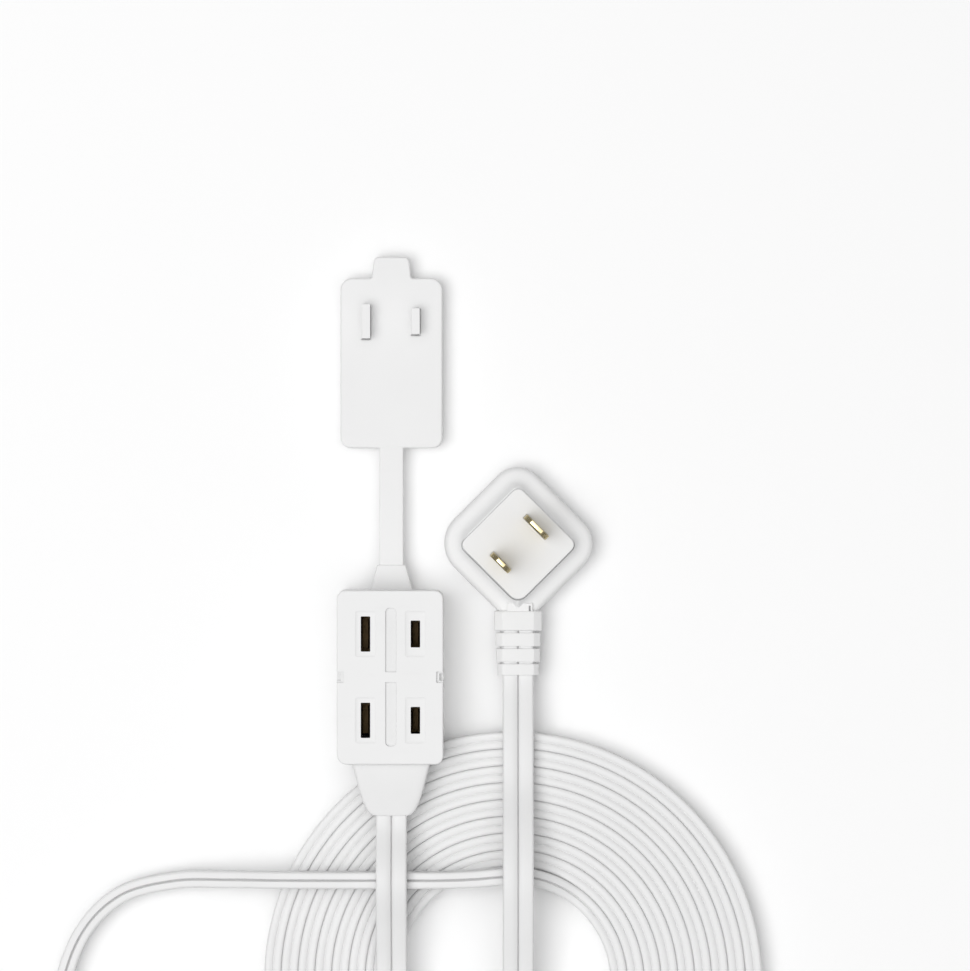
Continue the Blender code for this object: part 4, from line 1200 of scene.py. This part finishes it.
@dataclass
class FlatCord:
    """One flat two-conductor cord from the block, round the coil and into the plug.

    It leaves the block and the plug lying flat, and turns on edge in the two bends outside the coil.
    """

    bench: Bench
    width: float = 7.85 * MM
    thickness: float = 4.24 * MM
    corner: float = 0.7 * MM
    step: float = 1.6 * MM
    sharp: float = 40.0
    from_block: tuple = (
        (0.3, -60.0, 14.2), (0.3, -66, 14.2), (0.3, -71.1, 14.2), (0.3, -75.5, 14.6), (0.3, -87.2, 18.3),
        (0.3, -99, 14.2), (0.3, -110, 11.0), (0.2, -124, 10.4), (0, -140, 10.4), (0, -156, 10.5),
        (-0.8, -168, 10.4), (-4, -180.5, 7.0),
        (-13.5, -193, 4.5), (-30, -201.5, 4.2), (-48, -202, 4.25), (-65, -193.5, 4.15), (-77.5, -178, 4.0),
        (-84, -159, 3.96), (-86, -139, 3.96), (-84.5, -119, 3.96), (-79, -102, 3.96), (-69, -91.6, 3.96),
        (-55, -87.7, 4.5), (-41, -87.3, 7.6), (-29, -87.3, 10.8), (-17, -87.3, 12.0), (0, -87.3, 12.0),
        (12, -87.3, 12.0), (21, -87.0, 11.9),
    )
    to_plug: tuple = (
        (86.5, -147.5, 3.96), (80.5, -158, 3.96), (73.5, -169, 4.0), (65, -179.5, 4.15), (55, -191.5, 4.25),
        (44, -194.5, 4.6), (35.5, -187, 6.9), (32.6, -175, 10.3), (32.4, -160, 10.5), (32.4, -144, 10.4),
        (32.4, -127, 10.6), (32.4, -111, 12.4), (32.4, -97, 16.4), (32.4, -86.5, 18.4), (32.4, -76, 16.2),
        (32.4, -64, 11.4), (32.4, -52, 10.2), (32.4, -40, 7.6), (32.4, -35.8, 7.2), (32.4, -30, 7.2),
        (32.4, -23, 7.2),
    )
    turns: float = 8.27
    points_a_turn: int = 30
    pitch: float = 4.28 * MM
    first_radius: float = 26.9 * MM
    over_coil: float = 12.0 * MM
    on_ground: float = 3.96 * MM
    fall_turns: Pair = (-0.03, 0.14)
    twist_in: tuple[int, int] = (10, 16)
    twist_out: tuple[int, int] = (2, 8)
    seam_fade: int = 5
    reads: int = 24
    smoothing: int = 12
    flat_share: float = 0.45
    slit: Table = ((0.4, 0.03), (0.18, 0.22), (0.12, 1.05))
    faint_seam: Pair = (0.38 * MM, 0.13 * MM)
    deep_seam: Pair = (1.3 * MM, 0.26 * MM)

    def coil_points(self) -> np.ndarray:
        """The coil's centreline.

        The radius is the first radius plus a pitch a turn.  The angle runs clockwise from +Y.  The cord comes
        down from the coil's top to the ground in the first few degrees, along a smooth step.

        Returns:
            Rows of x, y and z.
        """
        centre = middle_of("cord_coil")
        turn = np.linspace(0.0, self.turns, int(self.turns * self.points_a_turn) + 1)
        angle = 2 * math.pi * turn
        radius = self.first_radius + self.pitch * turn
        fall = np.clip((turn - self.fall_turns[0]) / self.fall_turns[1], 0, 1)
        fall = fall * fall * (3 - 2 * fall)
        z = self.over_coil - (self.over_coil - self.on_ground) * fall
        return np.column_stack((centre[0] + radius * np.sin(angle), centre[1] + radius * np.cos(angle), z))

    def centreline(self) -> tuple[np.ndarray, np.ndarray, np.ndarray]:
        """The whole cord's centreline at even spacing, with its twist and the depth of its edge seam.

        A smooth cubic through the points, with each point's direction taken from its neighbours, is read
        finely, then again at even spacing.  The twist is then averaged over its near neighbours.

        Returns:
            Rows of x, y and z, then the share of a quarter turn at each, then the share of the seam's full
            depth.
        """
        first, last = np.array(self.from_block) * MM, np.array(self.to_plug) * MM
        coil = self.coil_points()
        counts = [np.arange(len(part)) for part in (first, coil, last)]
        twist = np.concatenate((np.interp(counts[0], self.twist_in, [0, 1]), np.ones(len(coil)),
                                np.interp(counts[2], self.twist_out, [1, 0])))
        seam = np.concatenate((np.ones(len(first)), np.clip(1 - counts[1] / self.seam_fade, 0, 1),
                               np.zeros(len(last))))
        rows = np.column_stack((np.concatenate((first, coil, last)), twist, seam))
        rows = np.concatenate(([2 * rows[0] - rows[1]], rows, [2 * rows[-1] - rows[-2]]))
        a, b, c, d = (part[:, None, :] for part in (rows[:-3], rows[1:-2], rows[2:-1], rows[3:]))
        share = np.linspace(0, 1, self.reads, endpoint=False)[None, :, None]
        fine = 0.5 * (2 * b + (c - a) * share + (2 * a - 5 * b + 4 * c - d) * share ** 2
                      + (3 * b - a - 3 * c + d) * share ** 3)
        fine = np.concatenate((fine.reshape(-1, 5), rows[-2:-1]))
        travel = np.concatenate(([0], np.cumsum(np.linalg.norm(np.diff(fine[:, :3], axis=0), axis=1))))
        even = np.linspace(0, travel[-1], int(travel[-1] / self.step) + 1)
        line = np.column_stack([np.interp(even, travel, fine[:, column]) for column in range(5)])
        window = 2 * self.smoothing + 1
        padded = np.pad(line[:, 3], self.smoothing, mode="edge")
        smooth = np.convolve(padded, np.ones(window) / window, mode="valid")
        return line[:, :3], np.clip(smooth, 0, 1), np.clip(line[:, 4], 0, 1)

    def section(self, seam: float, opening: float) -> np.ndarray:
        """The cord's section: a rounded bar with a narrow slit in each flat face and a seam in each edge.

        Args:
            seam: how deep the edge seam is.
            opening: half the seam's width just below the surface.

        Returns:
            Rows of width and thickness, anticlockwise.
        """
        half_w, half_t, corner = self.width / 2, self.thickness / 2, self.corner
        turn = np.linspace(0, math.pi / 2, 6)
        arc = np.column_stack((half_w - corner + corner * np.cos(turn),
                               half_t - corner + corner * np.sin(turn)))
        slit = [(across * MM, half_t - down * MM) for across, down in self.slit]
        face = np.array([(half_w * self.flat_share, half_t), *slit])
        edge = np.array([(half_w - seam, 0.0), (half_w - 0.2 * MM, opening), (half_w - 0.02 * MM, 0.36 * MM)])
        quarter = np.concatenate((edge, arc, face))
        second = quarter[1:][::-1] * (-1, 1)
        return np.concatenate((quarter, second, quarter * (-1, -1), quarter[1:][::-1] * (1, -1)))

    def build(self) -> bpy.types.Object:
        """Carry the section along the centreline, turning it on edge where the cord does.

        At each place the width direction is the level normal turned about the cord by the twist.

        Returns:
            The cord.
        """
        line, twist, seam = self.centreline()
        along = np.gradient(line, axis=0)
        along /= np.linalg.norm(along, axis=1)[:, None]
        level = np.cross(np.array((0.0, 0.0, 1.0)), along)
        level /= np.linalg.norm(level, axis=1)[:, None]
        above = np.cross(along, level)
        angle = (twist * math.pi / 2)[:, None]
        wide = level * np.cos(angle) + above * np.sin(angle)
        thin = np.cross(along, wide)
        faint, deep = self.section(*self.faint_seam)[None], self.section(*self.deep_seam)[None]
        section = faint + (deep - faint) * seam[:, None, None]
        rings = line[:, None, :] + section[:, :, :1] * wide[:, None, :] + section[:, :, 1:] * thin[:, None, :]
        cord = self.bench.make("cord", rings, JACKET_WHITE, self.sharp)
        self.add_map(cord, rings)
        self.bench.fit(cord, Slot.JACKET, ROOT, "outlet_cord_run", "cord_coil", "plug_cord_run")
        return cord

    def add_map(self, cord: bpy.types.Object, rings: np.ndarray) -> None:
        """Give the cord a UV map in metres: round the section, and along the cord."""
        count, around = rings.shape[:2]
        grid = np.arange(count * around)
        u = (grid % around) / around * 2 * (self.width + self.thickness)
        v = (grid // around) * self.step
        corners = np.empty(len(cord.data.loops), np.int32)
        cord.data.loops.foreach_get("vertex_index", corners)
        layer = cord.data.uv_layers.new(name="UVMap")
        layer.data.foreach_set("uv", np.column_stack((u[corners], v[corners])).astype(np.float32).ravel())


# ------------------------------------------------------------------ studio

@dataclass
class Studio:
    """Ground, light and camera."""

    bench: Bench
    look_at: Triple = (23.98 * MM, 12.7 * MM, 10 * MM)
    distance: float = 2.0
    field_width: float = 246.4 * MM
    sensor: float = 36.0
    far: float = 20.0
    ground_half: float = 3.0
    sky_floor: float = 0.16
    sky_rise: float = 1.6
    sky_power: float = 4.0
    lamp_size: float = 1.05
    lamp_energy: float = 11.7
    lamp_place: Triple = (-0.52, -0.12, 1.65)
    lamp_aim: Triple = (0.02, 0.0, 0.0)

    def build_camera(self) -> None:
        """A long lens that looks straight down, with +Y upwards in its view."""
        data = bpy.data.cameras.new("overhead_camera")
        data.sensor_width = self.sensor
        data.lens = self.sensor * self.distance / self.field_width
        data.clip_end = self.far
        camera = bpy.data.objects.new("overhead_camera", data)
        camera.location = Vector(self.look_at) + Vector((0, 0, self.distance))
        bpy.context.scene.collection.objects.link(camera)
        bpy.context.scene.camera = camera

    def build_ground(self) -> None:
        """A wide pale ground."""
        half = self.ground_half
        mesh = bpy.data.meshes.new("ground")
        corners = [(-half, -half, 0), (half, -half, 0), (half, half, 0), (-half, half, 0)]
        mesh.from_pydata(corners, [], [(0, 1, 2, 3)])
        ground = bpy.data.objects.new("ground", mesh)
        bpy.context.scene.collection.objects.link(ground)
        self.bench.paint(ground, GROUND)

    def build_light(self) -> None:
        """White surroundings that are brightest overhead, and one broad lamp from the left.

        The surroundings' strength is a floor plus a rise times the fourth power of a direction's height.
        """
        world = bpy.data.worlds.new("studio")
        world.use_nodes = True
        desk = ShaderDesk(world.node_tree)
        split = desk.node("ShaderNodeSeparateXYZ")
        desk.wire(desk.node("ShaderNodeNewGeometry").outputs["Position"], split.inputs[0])
        height = desk.math("MAXIMUM", split.outputs["Z"], 0.0)
        rise = desk.math("MULTIPLY", desk.math("POWER", height, self.sky_power), self.sky_rise)
        background = world.node_tree.nodes["Background"]
        background.inputs["Color"].default_value = (1, 1, 1, 1)
        desk.wire(desk.math("ADD", rise, self.sky_floor), background.inputs["Strength"])
        bpy.context.scene.world = world
        data = bpy.data.lights.new("broad_lamp", "AREA")
        data.shape = "DISK"
        data.size = self.lamp_size
        data.energy = self.lamp_energy
        lamp = bpy.data.objects.new("broad_lamp", data)
        lamp.location = self.lamp_place
        aim = Vector(self.lamp_aim) - Vector(self.lamp_place)
        lamp.rotation_euler = aim.to_track_quat("-Z", "Y").to_euler()
        bpy.context.scene.collection.objects.link(lamp)
        bpy.context.scene.view_settings.view_transform = "Standard"

    def build(self) -> None:
        """Set up the studio."""
        self.build_camera()
        self.build_ground()
        self.build_light()


def main() -> None:
    """Build everything in order and report each piece."""
    logging.basicConfig(level=logging.INFO, format="%(message)s")
    bench = Bench()
    Studio(bench).build()
    OutletBlock(bench).build()
    SafetyCover(bench).build()
    FlatPlug(bench).build()
    FlatCord(bench).build()
    log.info("%d pieces placed", len(bench.placed))


if __name__ == "__main__":
    main()
